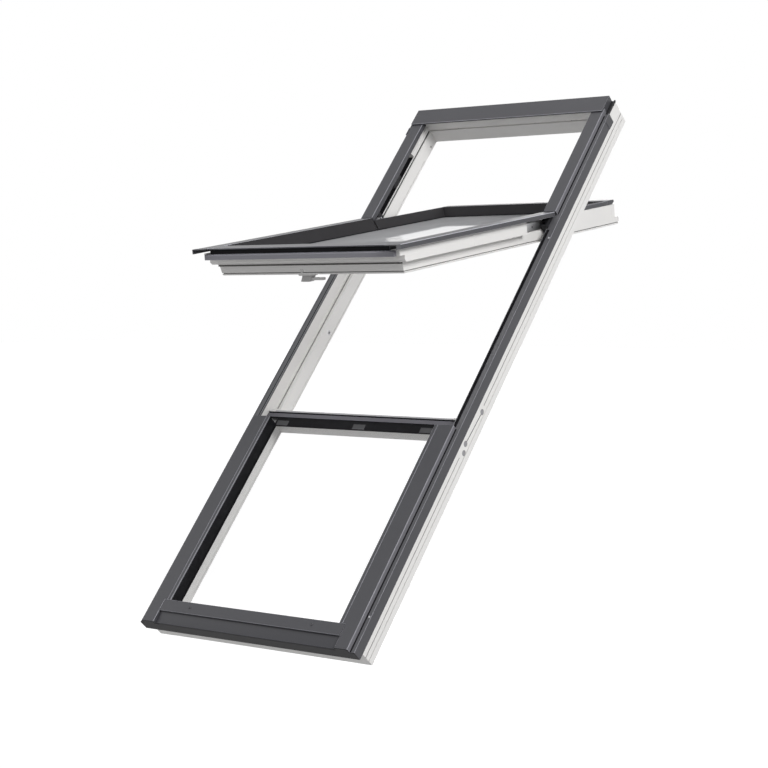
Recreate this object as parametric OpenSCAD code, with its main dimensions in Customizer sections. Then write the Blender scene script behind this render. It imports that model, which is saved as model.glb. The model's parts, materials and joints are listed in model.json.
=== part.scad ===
// Roof window with a fixed lower light and, above it, a sash on curved-track hinges.
// Millimetres. u runs across (+X), v up the slope and n outward from the room face.
// The origin is the centre of the sill rail's room face, and the window lies at the roof's pitch.

/* [Setting] */
// roof pitch in degrees
pitch = 49; // [30:1:75]
// sash opening at rest in degrees
sash_open = 40.5; // [0:0.5:150]
// largest sash opening in degrees, where the cleaning bolt meets its bushing
sash_max = 156; // [154:0.5:158]

/* [Frame] */
// frame width over the jambs
frame_w = 780; // [550:5:1340]
// frame height along the slope
frame_h = 2060; // [1700:5:2600]
// depth of the frame timber
frame_d = 88; // [76:0.5:104]
// width of a jamb
jamb_w = 50; // [47:0.5:54]
// width of the head rail
head_h = 38; // [34:1:44]
// width of the sill rail
sill_h = 46; // [42:1:52]
// width of the rebate in the jambs
rebate_w = 24; // [23:0.5:26]
// depth of the rebate in the jambs
rebate_d = 38; // [36:0.5:40]
// depth of the grooves along the outer sides
groove_d = 3; // [1:0.25:4]
// width of those grooves
groove_t = 3; // [1.5:0.25:4]
// height of the lower groove over the room face
groove_n = 19; // [17:0.5:21]
// length of the tenons in the jambs
tenon_l = 26; // [20:1:34]
// gap around a tenon
tenon_gap = 0.2; // [0.1:0.05:0.4]

/* [Transom] */
// lower face of the transom, up the slope
transom_v = 747; // [720:1:790]
// width of the transom
transom_h = 53; // [51:0.5:56]
// radius of the connector recesses on the outer side
plug_r = 9; // [7:0.5:11]

/* [Covers] */
// height of the covers over the timber
cover_h = 18; // [17:0.5:20]
// thickness of the cover sheet
sheet = 2; // [1.6:0.1:2.2]
// set-back of the covers from the frame's outer side
cover_set = 14; // [13:0.5:15]
// width of the side covers
cover_w = 44; // [42:0.5:46]
// rise of the head cover over the side covers
head_rise = 6; // [5:0.5:8]
// place of the strip and head screws across the frame
screw_u = 224; // [120:1:290]

/* [Sash] */
// distance from the head rail down to the hinge axis
pivot_drop = 460; // [400:1:560]
// gap between sash and jamb
sash_gap = 3; // [2.5:0.25:3.5]
// gap between flange and rebate
flange_gap = 4; // [3:0.25:5]
// width of a stile on the room side
stile_w = 47; // [44:0.5:52]
// depth of the sash timber behind the rebate's ledge
sash_t = 32; // [29:0.5:36]
// gap between transom and bottom rail on the room side
rail_gap = 14; // [12:0.5:18]
// gap between head rail and top rail
head_gap = 8; // [7:0.5:10]

/* [Glass] */
// thickness of a pane
pane_t = 4; // [3:0.5:4.5]
// cavity between the panes
cavity = 16; // [14:0.5:16]
// thickness of the outer gaskets
gasket_t = 2; // [1.5:0.1:2.5]

/* [Hinge] */
// mean radius of the curved track
track_r = 44; // [42:0.5:45]
// radial width of the track
track_w = 8; // [6:0.5:9]
// clearance between tongue and track
track_clear = 0.3; // [0.2:0.05:0.5]
// half length of the hinge housing
housing_l = 54; // [53:0.5:58]

/* [Handle and latch] */
// place of the handle across the sash
handle_u = -28; // [-60:1:60]
// reach of the lever from its axis
lever_l = 62; // [50:1:90]
// width of the lever
lever_w = 15; // [12:0.5:18]
// radius of the spindle
spindle_r = 4; // [3:0.25:5]
// radius of the latch bolt
latch_r = 6; // [5:0.25:6.5]
// radius of the cleaning bolt
bolt_r = 4; // [3:0.25:4.5]
// running clearance of spindle and bolts
run_clear = 0.05; // [0.03:0.01:0.1]

/* [Hidden] */
$fn = 48;
far = 400;
hw = frame_w / 2;
ju = hw - jamb_w;
rb = ju + rebate_w;
hv = frame_h - head_h;
tv = transom_v;
tt = transom_v + transom_h;
seat_v = sill_h / 2;
rebate_n = frame_d - rebate_d;
low_n = rebate_n - 12;
clad_n = frame_d - 30;
web_n = frame_d + sheet;
cov_n = frame_d + cover_h;
cov_o = hw - cover_set;
cov_i = cov_o - cover_w;
low_i = cov_i - 22;
head_n = cov_n + head_rise;
head_v = frame_h + 3;
bev = 1.2;

// sash levels and edges, in the closed position
su = ju - sash_gap;
sash_n = rebate_n - sash_t;
fu = rb - flange_gap;
si = su - stile_w;
ru = su - 13;
gu = ru - 2;
led_n = rebate_n - 11;
glass_n = led_n + 2;
out_n = glass_n + 2 * pane_t + cavity;
gask_n = out_n + gasket_t;
flange_n = rebate_n + 3;
lap_n = flange_n + 19;
top_lap_n = rebate_n - 8;
top_n = frame_d + 2;
up_n = frame_d - 4;
sv = tt + rail_gap;
rs_v = sv + 20;
lip_v = hv - head_gap;
rt_v = lip_v - 40;
leg_b = ru - 3 - 0.5 * (top_n - gask_n);
pv = hv - pivot_drop;
pn = cov_n + 1;
joint_v = pv - 141;
slot_v = (sv + joint_v) / 2 + 14;
bead_n = cov_n - 7;
bead_k = 20 / (bead_n - gask_n);
sash_end = sv - 78;
low_end = sv - 82;
fill_v = hv - 132;

// glass edges
lgu = ju + 12;
low_v0 = sill_h - 14;
low_v1 = tv + 8;
gv0 = rs_v + 2;
gv1 = rt_v - 2;

// hinge, latch and bolt
arm_i = su - 2;
arm_o = ju - 0.5;
track_end = rb - 6;
wedge_r = track_r + 16;
hb_v = sv + 25;
latch_n = sash_n + 11.5;
latch_tip = sv - 4;
bolt_v = lip_v - 29;
bolt_n = sash_n - 6;
bolt_dv = bolt_v - pv;
bolt_dn = bolt_n - pn;
bush_v = pv + bolt_dv * cos(sash_max) + bolt_dn * sin(sash_max);
bush_n = pn - bolt_dv * sin(sash_max) + bolt_dn * cos(sash_max);

white = [0.86, 0.85, 0.84];
anthracite = [0.30, 0.30, 0.32];
grey = [0.45, 0.45, 0.48];
black = [0.07, 0.07, 0.08];
steel = [0.70, 0.70, 0.71];
pane_tint = [0.72, 0.78, 0.78, 0.35];

// Placing helpers

module placed() {
  rotate([pitch, 0, 0]) translate([0, -seat_v, 0]) children();
}

module in_sash() {
  placed()
    translate([0, pv, pn])
      rotate([-sash_open, 0, 0])
        translate([0, -pv, -pn])
          children();
}

module sided(s) {
  if (s > 0) {
    children();
  } else {
    mirror([1, 0, 0]) children();
  }
}

module both() {
  children();
  mirror([1, 0, 0]) children();
}

// a (u, n) outline drawn up the slope
module along_v(v0, v1) {
  translate([0, v1, 0]) rotate([90, 0, 0]) linear_extrude(v1 - v0) children();
}

// a (v, n) outline drawn across
module along_u(u0, u1) {
  translate([u0, 0, 0]) rotate([90, 0, 90]) linear_extrude(u1 - u0) children();
}

module box(u0, u1, v0, v1, n0, n1) {
  translate([u0, v0, n0]) cube([u1 - u0, v1 - v0, n1 - n0]);
}

module rod_u(u0, u1, v, n, r) {
  translate([u0, v, n]) rotate([0, 90, 0]) cylinder(h = u1 - u0, r = r);
}

module rod_v(v0, v1, u, n, r) {
  translate([u, v1, n]) rotate([90, 0, 0]) cylinder(h = v1 - v0, r = r);
}

module rod_n(n0, n1, u, v, r) {
  translate([u, v, n0]) cylinder(h = n1 - n0, r = r);
}

// a flat ring of glass edge trim, outer and inner half widths and ends
module ring(uo, vo0, vo1, ui, vi0, vi1, n0, n1) {
  difference() {
    box(-uo, uo, vo0, vo1, n0, n1);
    box(-ui, ui, vi0, vi1, n0 - 1, n1 + 1);
  }
}

// Fixed frame

module tenons(v0, v1, gap) {
  both() box(ju - 1, ju + tenon_l + gap, v0 - gap, v1 + gap, 14 - gap, 32 + gap);
}

module plug_places(u0, u1, r) {
  rod_u(u0, u1, tv + 90, 33, r);
  rod_u(u0, u1, tv - 31, 40, r);
  rod_u(u0, u1, tv - 56, 29, r);
}

module side_screw_places(n0, n1, r) {
  rod_n(n0, n1, hw - 5.5, 95, r);
  rod_n(n0, n1, hw - 5.5, pv - 96, r);
}

module jamb() {
  difference() {
    box(ju, hw, 0, frame_h, 0, frame_d);
    box(ju - 1, rb, tv + 10, hv, rebate_n, frame_d + 1);
    box(ju - 1, rb, sill_h - 16, tv + 10, low_n, frame_d + 1);
    box(hw - groove_d, hw + 1, -1, frame_h + 1, groove_n, groove_n + groove_t);
    box(ju - 1, hw + 1, frame_h - groove_d, frame_h + 1, groove_n, groove_n + groove_t);
    box(hw - groove_d, hw + 1, tv + 110, frame_h + 1, groove_n + 18, groove_n + 18 + groove_t);
    box(hw - groove_d, hw + 1, -1, tv - 80, groove_n + 18, groove_n + 18 + groove_t);
    box(ju + 11, ju + 15, tt + 2, pv - housing_l - 6, rebate_n - 4, rebate_n + 1);
    box(ju - 1, ju + 5, 140, frame_h - 140, 6, 8);
    tenons(hv + 8, frame_h - 8, tenon_gap);
    tenons(8, sill_h - 18, tenon_gap);
    tenons(tv + 8, tt - 12, tenon_gap);
    plug_places(hw - 4, hw + 1, plug_r);
    translate([hw - 1.5, tv + 90, 33]) rotate([atan2(7, -121), 0, 0]) cube([3, 121, 1.6]);
    side_screw_places(frame_d - 18, frame_d + 1, 2.3);
  }
}

module left_jamb() {
  color(white) placed() mirror([1, 0, 0]) difference() {
    jamb();
    rod_u(ju - 1, ju + 12, bush_v, bush_n, 8.3);
    rod_u(ju - 1, ju + 12, bolt_v, bolt_n, bolt_r + 0.6);
  }
}

module right_jamb() {
  color(white) placed() jamb();
}

module head_rail() {
  color(white) placed() difference() {
    union() {
      along_u(-ju, ju) polygon([
        [hv, 0], [frame_h, 0], [frame_h, groove_n], [frame_h - groove_d, groove_n],
        [frame_h - groove_d, groove_n + groove_t], [frame_h, groove_n + groove_t],
        [frame_h, frame_d], [hv, frame_d],
        [hv, rebate_n + 6], [hv + 6, rebate_n + 6], [hv + 6, rebate_n], [hv, rebate_n]
      ]);
      tenons(hv + 8, frame_h - 8, 0);
    }
    for (u = [-screw_u, screw_u - 140, screw_u]) rod_v(hv, hv + 24, u, rebate_n + 3, 1.8);
  }
}

module sill_rail() {
  color(white) placed() union() {
    along_u(-ju, ju) polygon([
      [0, 0], [sill_h, 0], [sill_h, low_n], [sill_h - 16, low_n],
      [sill_h - 16, frame_d], [0, frame_d]
    ]);
    tenons(8, sill_h - 18, 0);
  }
}

module transom_outline() {
  polygon([
    [tv, 0], [tt, 0], [tt, sash_n], [tt - 19, rebate_n + 8], [tv + 10, rebate_n + 8],
    [tv + 10, low_n], [tv, low_n]
  ]);
}

module keeper_box() {
  box(handle_u - 14, handle_u + 14, tt - 24, tt + 10, sash_n + 1, sash_n + 24);
}

module transom() {
  color(white) placed() difference() {
    union() {
      along_u(-ju, ju) transom_outline();
      tenons(tv + 8, tt - 12, 0);
    }
    keeper_box();
  }
}

module latch_keeper() {
  color(steel) placed() difference() {
    intersection() {
      keeper_box();
      along_u(-ju, ju) transom_outline();
    }
    rod_v(tt - 20, tt + 20, handle_u, latch_n, latch_r + 1.5);
  }
}

module bolt_bushing() {
  color(steel) placed() mirror([1, 0, 0]) difference() {
    rod_u(ju, ju + 12, bush_v, bush_n, 8);
    rod_u(ju - 1, ju + 11, bush_v, bush_n, bolt_r + 0.6);
  }
}

module side_cladding() {
  difference() {
    union() {
      along_v(-18, hv - 22) polygon([
        [rb, frame_d], [hw, frame_d], [hw, clad_n], [hw + sheet, clad_n], [hw + sheet, web_n + 1.5],
        [hw + sheet - 0.5, web_n + 2], [hw + 0.5, web_n + 2], [hw - 0.5, web_n], [rb, web_n]
      ]);
      box(hw + sheet, hw + sheet + 1.5, hv - 56, hv - 23, clad_n - 1, web_n + 5);
    }
    side_screw_places(frame_d - 1, web_n + 1, 2.3);
  }
}

module left_side_cladding() {
  color(anthracite) placed() sided(-1) side_cladding();
}

module right_side_cladding() {
  color(anthracite) placed() sided(1) side_cladding();
}

module head_cover() {
  color(anthracite) placed() union() {
    along_u(-cov_o, cov_o) polygon([
      [hv - 25, cov_n], [hv - 25 + sheet, cov_n], [hv - 25 + sheet, head_n - sheet],
      [head_v, head_n - sheet], [head_v, clad_n + 2], [head_v + sheet, clad_n + 2],
      [head_v + sheet, head_n - bev], [head_v + sheet - bev, head_n],
      [hv - 25 + bev, head_n], [hv - 25, head_n - bev]
    ]);
    both() box(cov_o - sheet, cov_o, hv - 24, head_v + 1, cov_n, head_n - sheet / 2);
    both() box(cov_o - sheet, cov_o, hv - 8, head_v + 1, frame_d, cov_n + 1);
  }
}

// the gutter cap on an end of the head, beside the head cover
module head_cap() {
  along_v(hv - 22, frame_h + sheet) polygon([
    [cov_o, frame_d], [hw + sheet, frame_d], [hw + sheet, web_n + 4], [hw - 2, web_n + 4],
    [hw - 2, web_n], [cov_o, web_n]
  ]);
}

module left_head_cap() {
  color(black) placed() sided(-1) head_cap();
}

module right_head_cap() {
  color(black) placed() sided(1) head_cap();
}

module upper_cover() {
  along_v(pv + 2, hv - 10) polygon([
    [cov_o - sheet, web_n], [cov_o, web_n], [cov_o, cov_n - bev], [cov_o - bev, cov_n],
    [cov_i + bev, cov_n], [cov_i, cov_n - bev], [cov_i, frame_d], [cov_i + sheet, frame_d],
    [cov_i + sheet, cov_n - sheet], [cov_o - sheet, cov_n - sheet]
  ]);
}

module left_upper_cover() {
  color(anthracite) placed() sided(-1) upper_cover();
}

module right_upper_cover() {
  color(anthracite) placed() sided(1) upper_cover();
}

module lower_cover() {
  along_v(-18, sill_h + 12) polygon([
    [cov_o - sheet, web_n], [cov_o, web_n], [cov_o, cov_n - bev], [cov_o - bev, cov_n],
    [cov_i + bev, cov_n], [cov_i, cov_n - bev], [cov_i, frame_d], [cov_i + sheet, frame_d],
    [cov_i + sheet, cov_n - sheet], [cov_o - sheet, cov_n - sheet]
  ]);
  along_v(sill_h + 12, low_end) polygon([
    [cov_o - sheet, web_n], [cov_o, web_n], [cov_o, cov_n - bev], [cov_o - bev, cov_n],
    [low_i + 13, cov_n], [low_i + 13, cov_n - 1.2], [low_i + 11, cov_n - 1.2], [low_i + 11, cov_n],
    [low_i + bev, cov_n], [low_i, cov_n - bev], [low_i, cov_n - 4], [low_i + sheet, cov_n - 4],
    [low_i + sheet, cov_n - sheet], [cov_o - sheet, cov_n - sheet]
  ]);
}

module left_lower_cover() {
  color(anthracite) placed() sided(-1) lower_cover();
}

module right_lower_cover() {
  color(anthracite) placed() sided(1) lower_cover();
}

module strip_screw_places(n0, n1, r) {
  both() rod_n(n0, n1, screw_u, sill_h - 5.5, r);
}

module sill_strip() {
  color(anthracite) placed() difference() {
    along_u(-cov_i + 0.5, cov_i - 0.5) polygon([
      [20, cov_n - 6], [20 + sheet, cov_n - 6], [20 + sheet, cov_n - sheet],
      [sill_h + 12 - sheet, cov_n - sheet], [sill_h + 12 - sheet, gask_n],
      [sill_h + 12, gask_n], [sill_h + 12, cov_n - bev], [sill_h + 12 - bev, cov_n],
      [20 + bev, cov_n], [20, cov_n - bev]
    ]);
    strip_screw_places(cov_n - 10, cov_n + 1, 2.3);
  }
}

// the front lip, which also closes the lower ends of the covers and the cladding
module sill_lip() {
  along_v(-18 - sheet, -18) polygon([
    [-hw - sheet, clad_n + 2], [hw + sheet, clad_n + 2], [hw + sheet, web_n + 2], [cov_o, web_n + 2],
    [cov_o, cov_n - bev], [cov_i, cov_n - bev], [cov_i, cov_n - 11], [-cov_i, cov_n - 11],
    [-cov_i, cov_n - bev], [-cov_o, cov_n - bev], [-cov_o, web_n + 2], [-hw - sheet, web_n + 2]
  ]);
}

module sill_gutter() {
  color(anthracite) placed() union() {
    along_u(-cov_i + 0.5, cov_i - 0.5) polygon([
      [24, cov_n - 6], [8, cov_n - 8.5], [-6, cov_n - 9.5], [-16, cov_n - 9], [-18, cov_n - 11],
      [-18, clad_n + 2], [-18 + sheet, clad_n + 2], [-18 + sheet, cov_n - 11.5],
      [-6, cov_n - 9.5 - sheet], [6, cov_n - 8.8 - sheet], [6, frame_d], [6 + sheet, frame_d],
      [6 + sheet, cov_n - 8.5 - sheet], [24, cov_n - 6 - sheet]
    ]);
    sill_lip();
  }
}

module transom_cover() {
  color(grey) placed() along_u(-rb + 2, rb - 2) polygon([
    [tv + 6, gask_n - 1], [tt - 22, gask_n - 1], [tt - 22, rebate_n + 8], [tt - 20, rebate_n + 8],
    [tt - 18, gask_n - 1], [tt - 18, gask_n + 3], [tt - 24, gask_n + 3], [tt - 24, gask_n],
    [tt - 28.5, gask_n], [tt - 28.5, gask_n + 2], [tv + 11, gask_n + 2], [tv + 11, gask_n],
    [tv + 6, gask_n]
  ]);
}

module lower_outer_pane() {
  color(pane_tint) placed() box(-lgu, lgu, low_v0, low_v1, out_n - pane_t, out_n);
}

module lower_inner_pane() {
  color(pane_tint) placed() box(-lgu, lgu, low_v0, low_v1, glass_n, glass_n + pane_t);
}

module lower_spacer() {
  color(steel) placed() ring(
    lgu - 1, low_v0 + 1, low_v1 - 1, lgu - 16, low_v0 + 16, low_v1 - 16,
    glass_n + pane_t, out_n - pane_t
  );
}

module lower_gasket() {
  color(black) placed() union() {
    ring(low_i + 6, sill_h + 6, tv + 6, low_i - 2.5, sill_h + 14, tv - 22, out_n, gask_n);
    both() box(low_i, low_i + sheet, sill_h + 12, low_end, gask_n - 0.5, cov_n - 4);
  }
}

module lower_setting() {
  color(black) placed() ring(
    lgu, low_v0, low_v1, ju + 1, sill_h - 1, tv + 1, low_n, glass_n
  );
}

module frame_seal() {
  along_v(tt + 2, pv - housing_l - 6) union() {
    translate([ju + 11.2, rebate_n - 4]) square([3.6, 4.5]);
    translate([ju + 13, rebate_n + 0.6]) circle(r = 1.8);
  }
  along_v(pv + housing_l + 4, fill_v) polygon([
    [ju + 3, rebate_n], [rb, rebate_n], [rb, rebate_n + 9], [ju + 5, rebate_n + 9],
    [ju + 5, rebate_n + 6], [ju + 3, rebate_n + 6]
  ]);
  box(ju + 3, rb, fill_v, hv, rebate_n, rebate_n + 6);
}

module left_frame_seal() {
  color(black) placed() sided(-1) frame_seal();
}

module right_frame_seal() {
  color(black) placed() sided(1) frame_seal();
}

module housing_screws(u0, u1, r) {
  rod_u(u0, u1, pv - housing_l + 8, rebate_n + 8, r);
  rod_u(u0, u1, pv + housing_l - 8, rebate_n + 8, r);
}

module hinge_housing() {
  difference() {
    box(ju + 0.5, rb, pv - housing_l, pv + housing_l, rebate_n, cov_n - 3);
    difference() {
      rod_u(ju, track_end, pv, pn, track_r + track_w / 2);
      rod_u(ju - 1, track_end + 1, pv, pn, track_r - track_w / 2);
    }
    housing_screws(ju, ju + 4, 4.5);
  }
}

module left_hinge_housing() {
  color(black) placed() sided(-1) hinge_housing();
}

module right_hinge_housing() {
  color(black) placed() sided(1) hinge_housing();
}

module rebate_filler() {
  along_v(fill_v, hv) polygon([
    [ju + 1, rebate_n + 6], [rb, rebate_n + 6], [rb, rebate_n + 24], [ju + 6, rebate_n + 24],
    [ju + 1, rebate_n + 19]
  ]);
  box(ju + 1, ju + 5, pv + housing_l + 4, fill_v, rebate_n + 6, rebate_n + 9);
}

module left_rebate_filler() {
  color(white) placed() sided(-1) rebate_filler();
}

module right_rebate_filler() {
  color(white) placed() sided(1) rebate_filler();
}

module stop_block() {
  along_u(ju + 7, rb) polygon([
    [pv + 178, rebate_n + 9], [pv + 232, rebate_n + 9], [pv + 232, rebate_n + 30],
    [pv + 200, rebate_n + 30], [pv + 178, rebate_n + 16]
  ]);
}

module left_stop_block() {
  color(black) placed() sided(-1) stop_block();
}

module right_stop_block() {
  color(black) placed() sided(1) stop_block();
}

module transom_connectors() {
  color(grey) placed() both() plug_places(hw - 4, hw - 0.5, plug_r - 0.3);
}

module frame_screws() {
  color(steel) placed() union() {
    both() {
      side_screw_places(web_n, web_n + 2, 4.2);
      side_screw_places(frame_d - 16, web_n + 1, 2);
      housing_screws(ju + 1, ju + 4, 4.2);
    }
    strip_screw_places(cov_n, cov_n + 1.6, 4.5);
    strip_screw_places(cov_n - 9, cov_n + 1, 2);
    for (u = [-screw_u, screw_u - 140, screw_u]) {
      rod_v(hv + 4, hv + 6, u, rebate_n + 3, 2.7);
      rod_v(hv + 5, hv + 22, u, rebate_n + 3, 1.5);
    }
  }
}

// Sash, in its closed position before in_sash turns it

module slope_front() {
  polygon([
    [sv - 90, sash_n - 5], [sv + 2, sash_n - 5], [sv + 2, sash_n], [sv, sash_n + 2],
    [sv - 1, sash_n + 5], [sv + 2, sash_n + 5], [sv + 1.2, sash_n + 7.5], [sv - 1.8, sash_n + 7.5],
    [sv - 8, rebate_n - 5], [sv - 24, rebate_n + 10], [sv - 24, lap_n + 1], [sv - 90, lap_n + 1]
  ]);
}

module seal_notch() {
  polygon([
    [sv - 30, rebate_n - 3.5], [sv - 4, rebate_n - 3.5], [sv - 4, rebate_n + 0.5],
    [sv - 30, rebate_n + 0.5]
  ]);
}

module stile() {
  difference() {
    union() {
      along_v(sv - 40, joint_v) polygon([
        [si, sash_n], [su - 2, sash_n], [su, sash_n + 2], [su, sash_n + 5], [su - 3, sash_n + 5],
        [su - 3, sash_n + 7.5], [su, sash_n + 7.5], [su, flange_n], [fu, flange_n],
        [fu, top_n], [ru, top_n], [ru, led_n], [si + 8, led_n], [si, led_n - 8]
      ]);
      along_v(joint_v, lip_v) polygon([
        [si, sash_n], [su - 2, sash_n], [su, sash_n + 2], [su, sash_n + 5], [su - 3, sash_n + 5],
        [su - 3, sash_n + 7.5], [su, sash_n + 7.5], [su, up_n], [ru, up_n],
        [ru, led_n], [si + 8, led_n], [si, led_n - 8]
      ]);
    }
    along_u(si - 5, fu + 5) slope_front();
    along_u(si - 5, su + 1) seal_notch();
    box(si - 5, fu + 5, sv - 60, sv + 36, lap_n, top_n + 5);
    box(si - 5, fu + 5, rt_v, lip_v + 5, top_lap_n, top_n + 5);
    along_u(si - 5, fu + 5) polygon([
      [lip_v - 3, sash_n], [lip_v - 3, sash_n - 5], [lip_v + 5, sash_n - 5],
      [lip_v + 5, sash_n + 3], [lip_v, sash_n + 3]
    ]);
    box(arm_i, fu + 5, pv - 138, pv + 56, flange_n + 1, top_n + 5);
    box(fu - 1, fu + 1, slot_v, slot_v + 1.5, flange_n - 1, top_n + 1);
  }
}

module left_stile() {
  color(white) in_sash() sided(-1) stile();
}

module right_stile() {
  color(white) in_sash() sided(1) stile();
}

module bottom_rail_outline() {
  polygon([
    [sv + 48, sash_n], [sv + 2, sash_n], [sv, sash_n + 2],
    [sv - 1, sash_n + 5], [sv + 2, sash_n + 5], [sv + 1.2, sash_n + 7.5], [sv - 1.8, sash_n + 7.5],
    [sv - 8, rebate_n - 5], [sv - 24, rebate_n + 10],
    [sv - 24, lap_n], [sv - 46, lap_n], [sv - 46, top_n], [rs_v, top_n], [rs_v, led_n],
    [sv + 40, led_n], [sv + 48, led_n - 8]
  ]);
}

module case_box() {
  box(handle_u - 15, handle_u + 15, sv + 3, sv + 38, sash_n + 4, sash_n + 19);
}

module sash_bottom_rail() {
  color(white) in_sash() difference() {
    union() {
      along_u(-fu, fu) bottom_rail_outline();
      both() box(ru, fu, rs_v - 1, sv + 36, lap_n, top_n);
    }
    both() along_v(sv - 100, sv + 100) polygon([
      [si, sash_n - 5], [fu + 5, sash_n - 5], [fu + 5, lap_n], [ru, lap_n], [ru, led_n],
      [si + 8, led_n], [si, led_n - 8]
    ]);
    case_box();
    along_u(-far, far) seal_notch();
    rod_v(sv - 40, sv + 4, handle_u, latch_n, latch_r + 0.6);
    rod_n(sash_n - 1, sash_n + 4.5, handle_u, hb_v, spindle_r + 1);
  }
}

// the seal under the bottom rail and the one on the top rail's lip
module sash_seals() {
  color(black) in_sash() along_u(-su + 1, su - 1) union() {
    polygon([
      [sv - 4, rebate_n - 3.5], [sv - 14, rebate_n - 3.5], [sv - 17, rebate_n - 2],
      [sv - 17, rebate_n - 0.5], [sv - 14, rebate_n + 0.5], [sv - 4, rebate_n + 0.5]
    ]);
    polygon([
      [lip_v, sash_n + 9], [lip_v + 3, sash_n + 10], [lip_v + 3, sash_n + 21], [lip_v, sash_n + 22]
    ]);
  }
}

module lock_case() {
  color(steel) in_sash() difference() {
    case_box();
    rod_v(sv - 40, sv + 36, handle_u, latch_n, latch_r + run_clear);
  }
}

module sash_top_rail() {
  color(white) in_sash() difference() {
    along_u(-su, su) polygon([
      [rt_v - 30, sash_n], [lip_v - 3, sash_n], [lip_v, sash_n + 3], [lip_v, top_lap_n],
      [lip_v - 20, top_lap_n], [lip_v - 20, up_n], [rt_v, up_n], [rt_v, led_n],
      [rt_v - 22, led_n], [rt_v - 30, led_n - 8]
    ]);
    both() along_v(rt_v - 60, lip_v + 20) polygon([
      [si, sash_n - 5], [su + 5, sash_n - 5], [su + 5, top_lap_n], [ru, top_lap_n],
      [ru, led_n], [si + 8, led_n], [si, led_n - 8]
    ]);
  }
}

module sash_cover() {
  along_v(sash_end, sv + 48) polygon([
    [cov_o - sheet, web_n + 2], [cov_o, web_n + 2], [cov_o, cov_n - bev], [cov_o - bev, cov_n],
    [cov_i, cov_n], [cov_i, cov_n - sheet], [cov_o - sheet, cov_n - sheet]
  ]);
  along_v(sv + 48, pv - 2) polygon([
    [cov_o - sheet, web_n + 2], [cov_o, web_n + 2], [cov_o, cov_n - bev], [cov_o - bev, cov_n],
    [leg_b + 0.5 * (cov_n - gask_n), cov_n], [leg_b, gask_n], [leg_b + 2.2, gask_n],
    [leg_b + 2.2 + 0.5 * (cov_n - sheet - gask_n), cov_n - sheet],
    [cov_o - sheet, cov_n - sheet]
  ]);
  for (v = [sv + 90 : 200 : joint_v - 60]) {
    box(fu - 20, fu - 10, v, v + 40, top_n, cov_n - sheet / 2);
  }
}

module left_sash_cover() {
  color(anthracite) in_sash() sided(-1) sash_cover();
}

module right_sash_cover() {
  color(anthracite) in_sash() sided(1) sash_cover();
}

module sash_bottom_cover() {
  color(grey) in_sash() union() {
    along_u(-su - 12, su + 12) polygon([
      [sv - 58, lap_n], [sv - 57, lap_n - 1], [sv - 46, lap_n - 1], [sv - 46, lap_n + 16],
      [sv - 50, lap_n + 16], [sv - 58, lap_n + 13]
    ]);
    difference() {
      along_u(-cov_i + 1, cov_i - 1) polygon([
        [sv - 50, lap_n + 15], [sv - 46, lap_n + 15], [sv - 46, top_n], [rs_v, top_n],
        [sv + 38, gask_n], [sv + 46, gask_n], [sv + 8, cov_n], [sv - 55, cov_n],
        [sv - 56, cov_n - 1], [sv - 56, cov_n - 4], [sv - 50, cov_n - 5]
      ]);
      both() box(ru - 0.8, far, rs_v - 1, sv + 60, led_n, top_n);
    }
  }
}

module upper_bead() {
  difference() {
    along_v(pv + 4, rt_v - 5) polygon([
      [leg_b, gask_n], [leg_b + 2.5, gask_n], [ru - 0.5, up_n], [cov_i - 3, up_n],
      [cov_i - 3, bead_n - 2], [cov_i - 5, bead_n], [cov_i - 8, bead_n]
    ]);
    along_u(0, far) polygon([
      [rt_v - 26.4 - bead_k, gask_n - 1], [rt_v + 20, gask_n - 1], [rt_v + 20, bead_n + 1],
      [rt_v - 6.4 + bead_k, bead_n + 1]
    ]);
  }
}

module left_upper_bead() {
  color(anthracite) in_sash() sided(-1) upper_bead();
}

module right_upper_bead() {
  color(anthracite) in_sash() sided(1) upper_bead();
}

module sash_top_bead() {
  color(anthracite) in_sash() difference() {
    along_u(-cov_i + 3, cov_i - 3) polygon([
      [rt_v - 26, gask_n], [rt_v - 23, gask_n], [rt_v, up_n], [lip_v - 20, up_n],
      [lip_v - 7, up_n + 8], [lip_v - 7, bead_n - 2], [lip_v - 9, bead_n], [rt_v - 6, bead_n]
    ]);
    both() box(ru - 0.8, far, rt_v - 60, rt_v, led_n, up_n);
  }
}

module sash_outer_pane() {
  color(pane_tint) in_sash() box(-gu, gu, gv0, gv1, out_n - pane_t, out_n);
}

module sash_inner_pane() {
  color(pane_tint) in_sash() box(-gu, gu, gv0, gv1, glass_n, glass_n + pane_t);
}

module sash_spacer() {
  color(steel) in_sash() ring(
    gu - 1, gv0 + 1, gv1 - 1, gu - 16, gv0 + 16, gv1 - 16, glass_n + pane_t, out_n - pane_t
  );
}

module sash_gasket() {
  color(black) in_sash() ring(
    gu, gv0, gv1, leg_b - 2.5, sv + 49, rt_v - 28.5, out_n, gask_n
  );
}

module sash_setting() {
  color(black) in_sash() ring(
    gu, gv0, gv1, si + 9, sv + 39, rt_v - 21, led_n, glass_n
  );
}

module hinge_arm() {
  along_u(arm_i, arm_o) polygon([
    [pv - 135, flange_n + 4], [pv + 8, flange_n + 4], [pv + 44, up_n + 2], [pv + 50, up_n + 8],
    [pv + 50, cov_n - 4], [pv + 38, cov_n - 4], [pv + 26, up_n + 8], [pv + 8, up_n - 2],
    [pv - 135, up_n - 2]
  ]);
  intersection() {
    difference() {
      rod_u(arm_i, track_end - 1, pv, pn, track_r + track_w / 2 - track_clear);
      rod_u(arm_i - 1, track_end, pv, pn, track_r - track_w / 2 + track_clear);
    }
    along_u(arm_o - 1, track_end) polygon([
      [pv, pn], [pv + wedge_r * cos(6), pn - wedge_r * sin(6)],
      [pv + wedge_r * cos(17), pn - wedge_r * sin(17)]
    ]);
  }
}

module left_hinge_arm() {
  color(steel) in_sash() sided(-1) hinge_arm();
}

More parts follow.
